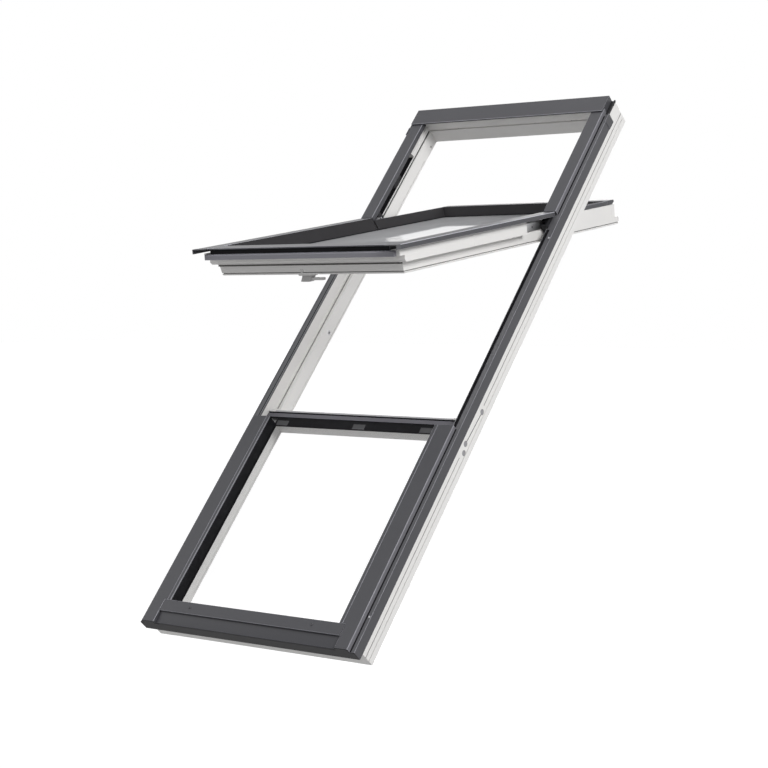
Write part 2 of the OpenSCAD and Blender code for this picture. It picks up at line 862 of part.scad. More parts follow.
module right_hinge_arm() {
  color(steel) in_sash() sided(1) hinge_arm();
}

module handle_base() {
  color(grey) in_sash() difference() {
    union() {
      box(handle_u - 18, handle_u + 18, hb_v - 14, hb_v + 14, sash_n - 5, sash_n);
      rod_n(sash_n - 5, sash_n, handle_u - 18, hb_v, 14);
      rod_n(sash_n - 5, sash_n, handle_u + 18, hb_v, 14);
    }
    rod_n(sash_n - 6, sash_n + 1, handle_u, hb_v, spindle_r + run_clear);
  }
}

module handle_lever() {
  color(steel) in_sash() union() {
    along_u(handle_u - 17, handle_u + 17) polygon([
      [hb_v - 15, sash_n - 22], [hb_v + 5, sash_n - 22], [hb_v + 15, sash_n - 5.3],
      [hb_v - 6, sash_n - 5.3]
    ]);
    rod_n(sash_n - 6, sash_n - 0.5, handle_u, hb_v, spindle_r);
    box(
      handle_u, handle_u + lever_l - lever_w / 2, hb_v - lever_w / 2, hb_v + lever_w / 2,
      sash_n - 19, sash_n - 12
    );
    rod_n(sash_n - 19, sash_n - 12, handle_u + lever_l - lever_w / 2, hb_v, lever_w / 2);
  }
}

module latch_bolt() {
  color(steel) in_sash() rod_v(latch_tip, sv + 30, handle_u, latch_n, latch_r);
}

module bolt_housing() {
  color(steel) in_sash() mirror([1, 0, 0]) difference() {
    box(su - 37, su - 3, bolt_v - 8, bolt_v + 8, bolt_n - 6, sash_n);
    rod_u(su - 38, su, bolt_v, bolt_n, bolt_r + run_clear);
    box(su - 31, su - 11, bolt_v - 3.2, bolt_v + 3.2, bolt_n - 7, bolt_n);
  }
}

module cleaning_bolt() {
  color(steel) in_sash() mirror([1, 0, 0]) union() {
    rod_u(su - 41, su - 1, bolt_v, bolt_n, bolt_r);
    rod_n(bolt_n - 13, bolt_n, su - 27, bolt_v, 2.5);
  }
}

left_jamb();
right_jamb();
head_rail();
sill_rail();
transom();
latch_keeper();
bolt_bushing();
left_side_cladding();
right_side_cladding();
head_cover();
left_head_cap();
right_head_cap();
left_upper_cover();
right_upper_cover();
left_lower_cover();
right_lower_cover();
sill_strip();
sill_gutter();
transom_cover();
lower_outer_pane();
lower_inner_pane();
lower_spacer();
lower_gasket();
lower_setting();
left_frame_seal();
right_frame_seal();
left_hinge_housing();
right_hinge_housing();
left_rebate_filler();
right_rebate_filler();
left_stop_block();
right_stop_block();
transom_connectors();
frame_screws();
left_stile();
right_stile();
sash_bottom_rail();
sash_seals();
lock_case();
sash_top_rail();
left_sash_cover();
right_sash_cover();
sash_bottom_cover();
left_upper_bead();
right_upper_bead();
sash_top_bead();
sash_outer_pane();
sash_inner_pane();
sash_spacer();
sash_gasket();
sash_setting();
left_hinge_arm();
right_hinge_arm();
handle_base();
handle_lever();
latch_bolt();
bolt_housing();
cleaning_bolt();
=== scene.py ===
"""Looks of a roof window: a fixed lower light and, above it, a sash that stands open on its hinges."""
import json
import logging
import math
from dataclasses import dataclass
from enum import Enum
from typing import Dict, List, Optional, Sequence, Tuple, Union

import bmesh
import bpy
from mathutils import Euler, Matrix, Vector


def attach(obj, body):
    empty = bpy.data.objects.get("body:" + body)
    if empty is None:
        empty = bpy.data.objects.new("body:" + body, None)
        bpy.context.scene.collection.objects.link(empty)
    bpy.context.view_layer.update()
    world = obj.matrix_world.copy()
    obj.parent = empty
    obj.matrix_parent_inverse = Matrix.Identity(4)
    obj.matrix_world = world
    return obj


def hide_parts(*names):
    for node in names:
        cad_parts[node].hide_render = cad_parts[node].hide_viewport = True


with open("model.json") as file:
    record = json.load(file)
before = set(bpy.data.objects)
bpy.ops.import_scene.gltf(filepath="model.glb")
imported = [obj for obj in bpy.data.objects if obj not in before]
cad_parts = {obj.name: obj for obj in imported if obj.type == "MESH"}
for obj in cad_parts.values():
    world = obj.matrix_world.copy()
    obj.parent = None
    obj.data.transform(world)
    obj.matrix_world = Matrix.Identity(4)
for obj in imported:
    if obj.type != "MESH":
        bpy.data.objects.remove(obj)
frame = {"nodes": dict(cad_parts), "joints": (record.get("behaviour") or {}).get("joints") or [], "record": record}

LOG = logging.getLogger("roof_window")
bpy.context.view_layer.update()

MM = 0.001
WELD = 0.00002
FLAT_ANGLE = math.radians(0.6)
SHARP_ANGLE = math.radians(28)
EDGE_MARK = "eased_edge"

RGB = Tuple[float, float, float]
Place = Tuple[float, float, float]
Point = Tuple[float, float]
Span = Tuple[float, float]
Outline = Tuple[Point, ...]
Loop = List[bmesh.types.BMVert]
Value = Union["Wire", float, Sequence[float]]

BLACK: RGB = (0.0, 0.0, 0.0)
WHITE: RGB = (1.0, 1.0, 1.0)


class Side(Enum):
    """The two sides of the window, seen from outside."""

    LEFT = -1
    RIGHT = 1

    def node(self, piece: str) -> str:
        """Names this side's piece of a pair."""
        return f"{self.name.lower()}_{piece}"

    def mirrored(self, outline: Sequence[Point]) -> List[Point]:
        """Gives an outline whose first numbers are u, on this side."""
        return [(self.value * u, other) for u, other in outline]

    def stretch(self, first: float, second: float) -> List[float]:
        """Gives the ends of a stretch across this side, the lower u first."""
        return sorted((self.value * first, self.value * second))


class Body(Enum):
    """The bodies that drawn pieces ride on."""

    FRAME = "frame"
    SASH = "sash"
    LEVER = "lever"


class Slot(Enum):
    """The record's material slots, named where pieces are drawn."""

    WHITE_PLASTIC = "white_plastic"
    ANTHRACITE = "anthracite_sheet"
    GREY_SHEET = "grey_sheet"
    GASKET = "gasket"
    BLACK_PLASTIC = "black_plastic"
    GREY_PLASTIC = "grey_plastic"
    STEEL = "steel"


# Shader expressions


class Wire:
    """An output socket whose arithmetic adds nodes to its tree; an output node gives an empty wire."""

    def __init__(self, graph: "Graph", socket: Optional[bpy.types.NodeSocket]) -> None:
        """Keeps the tree and the socket."""
        self.graph = graph
        self.socket = socket

    def __add__(self, other: Value) -> "Wire":
        """Adds a value or another wire."""
        return self.graph.join("ADD", self, other)

    def __radd__(self, other: Value) -> "Wire":
        """Adds this wire to a value."""
        return self.graph.join("ADD", other, self)

    def __sub__(self, other: Value) -> "Wire":
        """Takes a value or another wire away."""
        return self.graph.join("SUBTRACT", self, other)

    def __rsub__(self, other: Value) -> "Wire":
        """Takes this wire away from a value."""
        return self.graph.join("SUBTRACT", other, self)

    def __mul__(self, other: Value) -> "Wire":
        """Multiplies by a value or another wire."""
        return self.graph.join("MULTIPLY", self, other)

    def __rmul__(self, other: Value) -> "Wire":
        """Multiplies a value by this wire."""
        return self.graph.join("MULTIPLY", other, self)

    def __pow__(self, other: Value) -> "Wire":
        """Raises a value wire to a power."""
        return self.graph.join("POWER", self, other)

    def __rpow__(self, other: Value) -> "Wire":
        """Raises a value to the power of this wire."""
        return self.graph.join("POWER", other, self)

    def clamped(self, low: float = 0.0, high: float = 1.0) -> "Wire":
        """Limits a value wire to a range."""
        return self.graph.node("ShaderNodeClamp", inputs={"Value": self, "Min": low, "Max": high})


@dataclass(frozen=True)
class Pattern:
    """A noise pattern: repeats per metre, layers of finer detail and how strongly they show."""

    scale: float
    detail: float
    rough: float = 0.5


@dataclass(frozen=True)
class Relief:
    """A fine relief: its depth in metres and how strongly it shows."""

    depth: float
    strength: float


class Graph:
    """A node tree that is written as Python expressions."""

    # The Mix node's sockets for colours, which share their names with its sockets for values
    MIX_FACTOR = 0
    MIX_FIRST = 6
    MIX_SECOND = 7
    MIX_RESULT = 2

    def __init__(self, tree: bpy.types.NodeTree) -> None:
        """Empties the tree and keeps it."""
        self.tree = tree
        tree.nodes.clear()

    def node(
        self,
        kind: str,
        settings: Optional[Dict[str, object]] = None,
        inputs: Optional[Dict[Union[int, str], Value]] = None,
        out: Union[int, str] = 0,
    ) -> Wire:
        """Adds one node.

        Args:
            kind: The node's type.
            settings: Its own properties, set before anything is linked.
            inputs: Values or wires for its input sockets.
            out: The output socket to hand back.

        Returns:
            A wire from that output, empty where the node has none.
        """
        made = self.tree.nodes.new(kind)
        for name, setting in (settings or {}).items():
            setattr(made, name, setting)
        for name, value in (inputs or {}).items():
            if isinstance(value, Wire):
                self.tree.links.new(value.socket, made.inputs[name])
            else:
                made.inputs[name].default_value = value
        return Wire(self, made.outputs[out] if len(made.outputs) else None)

    def join(self, operation: str, first: Value, second: Value) -> Wire:
        """Adds the node that an operator stands for.

        Args:
            operation: The operation's name in Blender.
            first: Left side of the operator.
            second: Right side of the operator.

        Returns:
            A wire with the result, a colour or vector where either side is one.
        """
        kinds = {side.socket.type for side in (first, second) if isinstance(side, Wire)}
        if "RGBA" in kinds:
            return self.blend(1.0, first, second, operation)
        if "VECTOR" in kinds:
            sides = {0: self.spread(first, 3), 1: self.spread(second, 3)}
            return self.node("ShaderNodeVectorMath", {"operation": operation}, sides)
        return self.node("ShaderNodeMath", {"operation": operation}, {0: first, 1: second})

    @staticmethod
    def spread(value: Value, count: int) -> Value:
        """Repeats a plain number so that it fits a colour or vector socket.

        Args:
            value: A number, or anything else that fits already.
            count: 3 for a vector, 4 for a colour with full alpha.

        Returns:
            The numbers for the socket, or the value as it was.
        """
        if isinstance(value, (int, float)):
            return (value,) * 3 + (1.0,) * (count - 3)
        return value

    def blend(self, factor: Value, first: Value, second: Value, mode: str = "MIX") -> Wire:
        """Mixes two colours.

        Args:
            factor: Share of the second colour.
            first: Colour at a factor of 0.
            second: Colour at a factor of 1.
            mode: Blender's blend type.

        Returns:
            A colour wire.
        """
        sides = {
            self.MIX_FACTOR: factor,
            self.MIX_FIRST: self.spread(first, 4),
            self.MIX_SECOND: self.spread(second, 4),
        }
        settings = {"data_type": "RGBA", "blend_type": mode}
        return self.node("ShaderNodeMix", settings, sides, out=self.MIX_RESULT)

    def place(self) -> Wire:
        """Gives a point's place on its piece, in metres."""
        return self.node("ShaderNodeTexCoord", out="Object")

    def stretched(self, axis: Sequence[float], keep: float) -> Wire:
        """Gives places squeezed along one direction, so that patterns run along it.

        Args:
            axis: Unit vector of the direction.
            keep: Share of the length that is kept along it.

        Returns:
            A vector wire.
        """
        place = self.place()
        dot = {"operation": "DOT_PRODUCT"}
        along = self.node("ShaderNodeVectorMath", dot, {0: place, 1: tuple(axis)}, "Value")
        scale = {0: tuple(axis), "Scale": along * (keep - 1.0)}
        return place + self.node("ShaderNodeVectorMath", {"operation": "SCALE"}, scale)

    def noise(self, place: Wire, pattern: Pattern) -> Wire:
        """Gives a pattern's value at a place, between 0 and 1.

        Args:
            place: The place.
            pattern: The pattern.

        Returns:
            A value wire.
        """
        return self.node("ShaderNodeTexNoise", inputs={
            "Vector": place,
            "Scale": pattern.scale,
            "Detail": pattern.detail,
            "Roughness": pattern.rough,
        })

    def edges(self) -> Wire:
        """Gives 1 on the rounded edges of a piece and 0 elsewhere."""
        settings = {"attribute_type": "GEOMETRY", "attribute_name": EDGE_MARK}
        return self.node("ShaderNodeAttribute", settings, out="Fac")

    def bump(self, height: Wire, relief: Relief) -> Wire:
        """Turns a height into a normal."""
        inputs = {"Height": height, "Distance": relief.depth, "Strength": relief.strength}
        return self.node("ShaderNodeBump", inputs=inputs)

    def seen(self) -> Wire:
        """Gives 1 to the camera and to what mirrors or shows the background, and 0 to other light.

        Returns:
            A value wire.
        """
        kinds = ("Is Camera Ray", "Is Glossy Ray", "Is Transmission Ray")
        camera, glossy, through = (self.node("ShaderNodeLightPath", out=kind) for kind in kinds)
        return (camera + glossy + through).clamped()

    def surface(self, inputs: Dict[str, Value]) -> None:
        """Adds the shader of a surface and its output."""
        shader = self.node("ShaderNodeBsdfPrincipled", inputs=inputs)
        self.node("ShaderNodeOutputMaterial", inputs={"Surface": shader})


def rgba(color: RGB, gain: float = 1.0) -> Tuple[float, float, float, float]:
    """Gives a colour, made lighter or darker, with full alpha."""
    return (color[0] * gain, color[1] * gain, color[2] * gain, 1.0)


# Finishes


@dataclass(frozen=True)
class Finish:
    """What every finish has: a name, a colour and a way to make its material."""

    name: str
    color: RGB

    def material(self) -> bpy.types.Material:
        """Makes the material, or finds it if it was made before.

        Returns:
            The finish's material.
        """
        made = bpy.data.materials.get(self.name)
        if made is None:
            made = bpy.data.materials.new(self.name)
            made.use_nodes = True
            self.paint(Graph(made.node_tree))
        return made

    def toned(self, graph: Graph, share: Wire, tones: Span) -> Wire:
        """Mixes a darker and a lighter tone of the colour."""
        return graph.blend(share, rgba(self.color, tones[0]), rgba(self.color, tones[1]))

    def paint(self, graph: Graph) -> None:
        """Writes the finish's nodes into a tree."""
        raise NotImplementedError(self.name)


@dataclass(frozen=True)
class CoatedTimber(Finish):
    """White coated pine: satin, with its fibres faintly raised along the grain."""

    color: RGB = (0.80, 0.79, 0.775)
    grain: RGB = (0.0, 0.0, 1.0)
    squeeze: float = 0.03
    fibre: Pattern = Pattern(520.0, 4.0, 0.6)
    figure: Pattern = Pattern(46.0, 3.0, 0.55)
    cloud: Pattern = Pattern(6.0, 3.0)
    tones: Span = (0.955, 1.03)
    worn_gain: float = 1.05
    roughness: float = 0.34
    gloss: float = 0.42
    relief: Relief = Relief(0.00025, 0.35)

    def paint(self, graph: Graph) -> None:
        """Writes the grain, the tone of the coat and its sheen.

        Args:
            graph: The material's tree.
        """
        run = graph.stretched(self.grain, self.squeeze)
        fibre = graph.noise(run, self.fibre)
        figure = graph.noise(run, self.figure)
        cloud = graph.noise(graph.place(), self.cloud)
        shade = (figure * 0.55 + cloud * 0.45).clamped()
        worn = (graph.edges() * (0.25 + 0.35 * fibre)).clamped()
        coat = self.toned(graph, shade, self.tones)
        graph.surface({
            "Base Color": graph.blend(worn, coat, rgba(self.color, self.worn_gain)),
            "Roughness": self.roughness + 0.16 * fibre + 0.06 * cloud,
            "Specular IOR Level": self.gloss,
            "Normal": graph.bump(fibre * 0.6 + figure * 0.4, self.relief),
        })


@dataclass(frozen=True)
class CoatedSheet(Finish):
    """Folded metal sheet under a satin coat with a fine orange peel, and a painted highlight on its folds."""

    color: RGB = (0.068, 0.068, 0.075)
    # how much lighter the painted highlight on folds and cut edges is
    edge_gain: float = 4.5
    peel: Pattern = Pattern(900.0, 2.0)
    cloud: Pattern = Pattern(3.2, 4.0, 0.6)
    speck: Pattern = Pattern(240.0, 3.0, 0.7)
    tones: Span = (0.86, 1.14)
    roughness: float = 0.29
    gloss: float = 0.22
    relief: Relief = Relief(0.00006, 0.30)

    def paint(self, graph: Graph) -> None:
        """Writes the coat's tone, its peel and a painted highlight on its folds and cut edges.

        Args:
            graph: The material's tree.
        """
        place = graph.place()
        cloud = graph.noise(place, self.cloud)
        speck = graph.noise(place, self.speck)
        tone = (cloud * 0.75 + speck * 0.25).clamped()
        # painted highlight: folds and narrow cut edges lightened by edge_gain, standing in for light caught on
        # them
        painted_highlight = (graph.edges() * (0.55 + 0.45 * speck)).clamped()
        coat = self.toned(graph, tone, self.tones)
        graph.surface({
            "Base Color": graph.blend(painted_highlight, coat, rgba(self.color, self.edge_gain)),
            "Roughness": self.roughness + 0.12 * speck + 0.06 * cloud,
            "Specular IOR Level": self.gloss,
            "Normal": graph.bump(graph.noise(place, self.peel), self.relief),
        })


@dataclass(frozen=True)
class Rubber(Finish):
    """Extruded black sealing rubber, dull and slightly dusty."""

    color: RGB = (0.008, 0.008, 0.009)
    bloom: Pattern = Pattern(60.0, 4.0, 0.65)
    skin: Pattern = Pattern(1500.0, 2.0)
    tones: Span = (1.0, 2.1)
    roughness: float = 0.56
    gloss: float = 0.05
    relief: Relief = Relief(0.00004, 0.35)

    def paint(self, graph: Graph) -> None:
        """Writes the rubber's bloom and its drawn surface.

        Args:
            graph: The material's tree.
        """
        place = graph.place()
        bloom = graph.noise(place, self.bloom)
        dusty = (bloom * 1.6 - 0.55).clamped()
        graph.surface({
            "Base Color": self.toned(graph, dusty, self.tones),
            "Roughness": self.roughness + 0.2 * bloom,
            "Specular IOR Level": self.gloss,
            "Normal": graph.bump(graph.noise(place, self.skin), self.relief),
        })


@dataclass(frozen=True)
class PaneGlass(Finish):
    """Float glass that lets light through head on and at a slant turns into a glossy pale grey whose colour is
    painted reflection.
    """

    # pale grey shown where the pane turns opaque at a slant: painted reflection
    color: RGB = (0.68, 0.685, 0.70)
    film: Pattern = Pattern(5.0, 4.0, 0.6)
    fine: Pattern = Pattern(90.0, 3.0, 0.6)
    tones: Span = (0.8, 1.25)
    slant_gain: float = 2.1
    slant_power: float = 5.0
    least: float = 0.005
    most: float = 0.95
    roughness: float = 0.015
    bending: float = 1.5
    gloss: float = 0.25

    def paint(self, graph: Graph) -> None:
        """Writes the pane's opaque share by angle, whose pale colour is painted reflection, and a faint film on
        the pane.

        Args:
            graph: The material's tree.
        """
        place = graph.place()
        film = graph.noise(place, self.film)
        fine = graph.noise(place, self.fine)
        slant = graph.node("ShaderNodeLayerWeight", inputs={"Blend": 0.5}, out="Facing")
        share = self.slant_gain * slant ** self.slant_power + self.least
        graph.surface({
            "Base Color": self.toned(graph, film, self.tones),
            "Roughness": self.roughness + 0.03 * film + 0.01 * fine,
            "IOR": self.bending,
            "Specular IOR Level": self.gloss,
            # opaque at a slant, where the base colour stands in as painted reflection
            "Alpha": share.clamped(self.least, self.most),
        })


@dataclass(frozen=True)
class BrushedMetal(Finish):
    """Plated or brushed metal with fine drawn lines."""

    color: RGB = (0.60, 0.60, 0.61)
    line: RGB = (1.0, 0.0, 0.0)
    squeeze: float = 0.04
    lines: Pattern = Pattern(1300.0, 3.0, 0.6)
    patch: Pattern = Pattern(70.0, 3.0, 0.6)
    tones: Span = (0.86, 1.1)
    edge_gain: float = 1.25
    roughness: float = 0.24
    relief: Relief = Relief(0.00003, 0.3)

    def paint(self, graph: Graph) -> None:
        """Writes the drawn lines and the duller patches between them.

        Args:
            graph: The material's tree.
        """
        lines = graph.noise(graph.stretched(self.line, self.squeeze), self.lines)
        patch = graph.noise(graph.place(), self.patch)
        tone = self.toned(graph, lines, self.tones)
        graph.surface({
            "Base Color": graph.blend(graph.edges() * 0.5, tone, rgba(self.color, self.edge_gain)),
            "Metallic": 1.0,
            "Roughness": self.roughness + 0.16 * lines + 0.06 * patch,
            "Normal": graph.bump(lines, self.relief),
        })


@dataclass(frozen=True)
class MouldedPlastic(Finish):
    """Moulded plastic with a fine spark-eroded grain."""

    color: RGB = (0.4, 0.4, 0.41)
    grain: Pattern = Pattern(1700.0, 3.0, 0.6)
    cloud: Pattern = Pattern(25.0, 3.0)
    tones: Span = (0.93, 1.07)
    edge_gain: float = 1.22
    roughness: float = 0.45
    gloss: float = 0.25
    relief: Relief = Relief(0.00004, 0.4)

    def paint(self, graph: Graph) -> None:
        """Writes the mould's grain and the polish on edges that hands meet.

        Args:
            graph: The material's tree.
        """
        place = graph.place()
        grain = graph.noise(place, self.grain)
        edge = graph.edges()
        tone = self.toned(graph, graph.noise(place, self.cloud), self.tones)
        graph.surface({
            "Base Color": graph.blend(edge * 0.4, tone, rgba(self.color, self.edge_gain)),
            "Roughness": self.roughness + 0.1 * grain - 0.1 * edge,
            "Specular IOR Level": self.gloss,
            "Normal": graph.bump(grain, self.relief),
        })


@dataclass(frozen=True)
class PaleFloor(Finish):
    """A plain studio floor, white to the camera and still able to take a shadow."""

    color: RGB = (0.45, 0.45, 0.45)
    near_glow: RGB = (0.60, 0.60, 0.60)
    far_glow: RGB = (0.90, 0.90, 0.90)
    fade: float = 0.2
    roughness: float = 0.9

    def paint(self, graph: Graph) -> None:
        """Writes the glow, which grows with the distance from the window.

        Args:
            graph: The material's tree.
        """
        away = graph.node("ShaderNodeVectorMath", {"operation": "LENGTH"}, {0: graph.place()}, "Value")
        far = 1.0 - (1.0 + (away * self.fade) ** 2.0) ** -1.0
        glow = graph.blend(far, rgba(self.near_glow), rgba(self.far_glow))
        graph.surface({
            "Base Color": rgba(self.color),
            "Roughness": self.roughness,
            "Emission Color": graph.blend(graph.seen(), rgba(BLACK), glow),
            "Emission Strength": 1.0,
        })


# Places on the window


@dataclass(frozen=True)
class Axes:
    """Window axes in the part's frame: u across, v up the slope and n outward, in millimetres."""

    origin: Vector
    v_axis: Vector
    n_axis: Vector

    def at(self, u: float, v: float, n: float) -> Vector:
        """Gives a place in metres."""
        return self.origin + (Vector((u, 0.0, 0.0)) + self.v_axis * v + self.n_axis * n) * MM

    def of(self, place: Vector) -> Place:
        """Gives u, v and n of a place that is written in metres."""
        reach = (place - self.origin) / MM
        return (reach.x, reach.dot(self.v_axis), reach.dot(self.n_axis))

    def grain_v(self) -> RGB:
        """Gives the direction of the grain of a jamb or stile."""
        return tuple(self.v_axis)


@dataclass(frozen=True)
class Layout:
    """The window's own axes and those of its sash at rest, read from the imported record.

    The part's origin lies on the sill's room face, in the middle of the sill's height.
    """

    sill_middle: float = 23.0
    mount: str = "sill_room_face"
    pivot: str = "sash_pivot"

    def frame_axes(self) -> Axes:
        """Finds the fixed frame's axes from the room face's slope.

        Returns:
            The axes, which start at the frame's bottom edge.
        """
        mounts = {row["name"]: row for row in frame["record"]["mounts"]}
        room = Vector(mounts[self.mount]["axis"])
        v_axis = Vector((0.0, -room.z, room.y))
        return Axes(v_axis * (-self.sill_middle * MM), v_axis, -room)

    def sash_axes(self) -> Axes:
        """Turns the frame's axes about the sash's pivot, from closed to rest.

        Returns:
            The axes of the sash at rest.
        """
        joint = next(row for row in frame["joints"] if row["name"] == self.pivot)
        opening = math.radians(-joint["range_deg"][0])
        fixed = self.frame_axes()
        centre = Vector(joint["pos_m"])
        reach = centre - fixed.origin
        v_axis = fixed.v_axis * math.cos(opening) - fixed.n_axis * math.sin(opening)
        n_axis = fixed.v_axis * math.sin(opening) + fixed.n_axis * math.cos(opening)
        origin = centre - v_axis * reach.dot(fixed.v_axis) - n_axis * reach.dot(fixed.n_axis)
        return Axes(origin, v_axis, n_axis)


def above(limit: float) -> Span:
    """Gives the span above a limit."""
    return (limit, math.inf)


def below(limit: float) -> Span:
    """Gives the span below a limit."""
    return (-math.inf, limit)


@dataclass(frozen=True)
class Zone:
    """A part of the window between limits on u, v and n; aside is the distance from the middle."""

    u: Span = (-math.inf, math.inf)
    aside: Span = (-math.inf, math.inf)
    v: Span = (-math.inf, math.inf)
    n: Span = (-math.inf, math.inf)

    def holds(self, u: float, v: float, n: float) -> bool:
        """Tells whether a place lies inside every limit."""
        limits = ((self.u, u), (self.aside, abs(u)), (self.v, v), (self.n, n))
        return all(low < value < high for (low, high), value in limits)


# Mesh work


@dataclass(frozen=True)
class Rounding:
    """How a piece's sharp edges are rounded: set-back in millimetres and faces across each rounding.

    Flat faces up to the narrow width, such as a sheet's cut edge, are marked as edges too.
    """

    width: float
    steps: int = 2
    narrow: float = 0.0


@dataclass(frozen=True)
class ScrewSize:
    """One kind of screw: its head's radius and height and its shank's length, in millimetres.

    The other sizes are shares of these: the shank's radius, the tip's radius and length, the rings
    of the low domed head, half the width and the length of the recess's arms, and its depth.
    """

    radius: float
    height: float
    shank: float
    core: float = 0.45
    tip: Point = (0.3, 1.5)
    head: Outline = ((1.0, 0.0), (1.0, 0.35), (0.88, 0.75), (0.66, 1.0))
    arm: Point = (0.13, 0.46)
    depth: float = 0.65
    facets: int = 24

    def rings(self) -> List[Point]:
        """Gives the profile from the tip to the rim.

        Returns:
            Radius and height of each ring.
        """
        core = self.core * self.radius
        narrow, taper = self.tip
        stem = [(narrow * core, -self.shank), (core, taper * core - self.shank), (core, 0.0)]
        return stem + [(wide * self.radius, rise * self.height) for wide, rise in self.head]

    def recess(self) -> List[Point]:
        """Gives the outline of the cross recess.

        Returns:
            Points square to the screw's axis, a quarter turn at a time.
        """
        short, long = (share * self.radius for share in self.arm)
        outline = []
        for cosine, sine in ((1, 0), (0, 1), (-1, 0), (0, -1)):
            for x, y in ((short, short), (short, long), (-short, long)):
                outline.append((cosine * x - sine * y, sine * x + cosine * y))
        return outline


class Solid:
    """A mesh under work, with the window's axes for its places."""

    def __init__(self, axes: Axes) -> None:
        """Starts an empty mesh.

        Args:
            axes: The axes that its places are written in.
        """
        self.axes = axes
        self.bm = bmesh.new()
        self.mark = self.bm.faces.layers.float.new(EDGE_MARK)

    def take(self, mesh: bpy.types.Mesh) -> None:
        """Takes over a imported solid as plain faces, with its flat faces made whole.

        Args:
            mesh: The solid's triangles.
        """
        points = [self.bm.verts.new(vertex.co) for vertex in mesh.vertices]
        for polygon in mesh.polygons:
            corners = [points[index] for index in polygon.vertices]
            if len(set(corners)) > 2:
                self.bm.faces.new(corners)
        bmesh.ops.remove_doubles(self.bm, verts=self.bm.verts[:], dist=WELD)
        bmesh.ops.dissolve_degenerate(self.bm, dist=WELD, edges=self.bm.edges[:])
        bmesh.ops.dissolve_limit(
            self.bm,
            angle_limit=FLAT_ANGLE,
            verts=self.bm.verts[:],
            edges=self.bm.edges[:],
            use_dissolve_boundaries=False,
        )

    def loop(self, places: Sequence[Place]) -> Loop:
        """Adds points given in window axes."""
        return [self.bm.verts.new(self.axes.at(*place)) for place in places]

    def band(self, low: Loop, high: Loop) -> None:
        """Joins two loops of one length with four-sided faces.

        Args:
            low: The first loop.
            high: The second loop.
        """
        for here in range(len(low)):
            after = (here + 1) % len(low)
            self.bm.faces.new((low[here], low[after], high[after], high[here]))

    def skin(self, rows: Sequence[Loop], closed: bool = False) -> None:
        """Joins loops of points, one after the other.

        Args:
            rows: The loops, all of one length.
            closed: Whether the last row joins the first; open rows get end faces.
        """
        for low, high in zip(rows, rows[1:]):
            self.band(low, high)
        if closed:
            self.band(rows[-1], rows[0])
        else:
            self.bm.faces.new(list(reversed(rows[0])))
            self.bm.faces.new(rows[-1])

    def across(self, u0: float, u1: float, outline: Sequence[Point]) -> None:
        """Draws a (v, n) outline across the window."""
        self.skin([self.loop([(u, v, n) for v, n in outline]) for u in (u0, u1)])

    def upward(self, v0: float, v1: float, outline: Sequence[Point]) -> None:
        """Draws a (u, n) outline up the slope."""
        self.skin([self.loop([(u, v, n) for u, n in outline]) for v in (v0, v1)])

    def border(self, half: float, v0: float, v1: float, outline: Sequence[Point]) -> None:
        """Draws a profile round a rectangle with mitred corners.

        Args:
            half: Half width of the rectangle.
            v0: Its lower end.
            v1: Its upper end.
            outline: Profile points as (distance inward, n).
        """
        corners = ((1, v0, 1), (1, v1, -1), (-1, v1, -1), (-1, v0, 1))
        rows = [
            self.loop([(side * (half - inward), v + turn * inward, n) for inward, n in outline])
            for side, v, turn in corners
        ]
        self.skin(rows, closed=True)

    def screw(self, place: Place, up: Vector, size: ScrewSize) -> None:
        """Adds a screw: a shank, a low domed head and a cross recess.

        Args:
            place: Middle of the head's seat, in window axes.
            up: Unit vector out of the head.
            size: The kind of screw.
        """
        centre = self.axes.at(*place)
        side = up.orthogonal().normalized()
        other = up.cross(side)
        turns = [2.0 * math.pi * step / size.facets for step in range(size.facets)]
        spokes = [side * math.cos(turn) + other * math.sin(turn) for turn in turns]
        rows = [
            [self.bm.verts.new(centre + (up * height + away * radius) * MM) for away in spokes]
            for radius, height in size.rings()
        ]
        for low, high in zip(rows, rows[1:]):
            self.band(low, high)
        self.bm.faces.new(list(reversed(rows[0])))
        spots = [centre + (side * x + other * y + up * size.height) * MM for x, y in size.recess()]
        top, foot = [], []
        for spot in spots:
            top.append(self.bm.verts.new(spot))
            foot.append(self.bm.verts.new(spot - up * (size.depth * size.height) * MM))
        self.ring_face(rows[-1], top)
        self.band(top, foot)
        self.bm.faces.new(foot)

    def ring_face(self, outer: Loop, inner: Loop) -> None:
        """Fills the flat ring between two loops of points.

        Args:
            outer: The loop round it.
            inner: The loop inside it.
        """
        edges = []
        for loop in (outer, inner):
            for here, point in enumerate(loop):
                after = loop[(here + 1) % len(loop)]
                edges.append(self.bm.edges.get((point, after)) or self.bm.edges.new((point, after)))
        bmesh.ops.triangle_fill(self.bm, use_beauty=True, edges=edges)

    def ease(self, rounding: Rounding) -> None:
        """Rounds the sharp edges and marks the rounded and the narrow faces.

        Args:
            rounding: How they are rounded.
        """
        bmesh.ops.recalc_face_normals(self.bm, faces=self.bm.faces[:])
        sharp = [
            edge for edge in self.bm.edges
            if edge.is_manifold and edge.calc_face_angle(0.0) > SHARP_ANGLE
        ]
        if sharp:
            made = bmesh.ops.bevel(
                self.bm,
                geom=sharp,
                offset=rounding.width * MM,
                offset_type="OFFSET",
                profile_type="SUPERELLIPSE",
                segments=rounding.steps,
                profile=0.5,
                affect="EDGES",
                clamp_overlap=True,
                material=-1,
            )
            for face in made["faces"]:
                face[self.mark] = 1.0
        for face in self.bm.faces:
            longest = max(edge.calc_length() for edge in face.edges)
            if face.calc_area() < rounding.narrow * MM * longest:
                face[self.mark] = 1.0

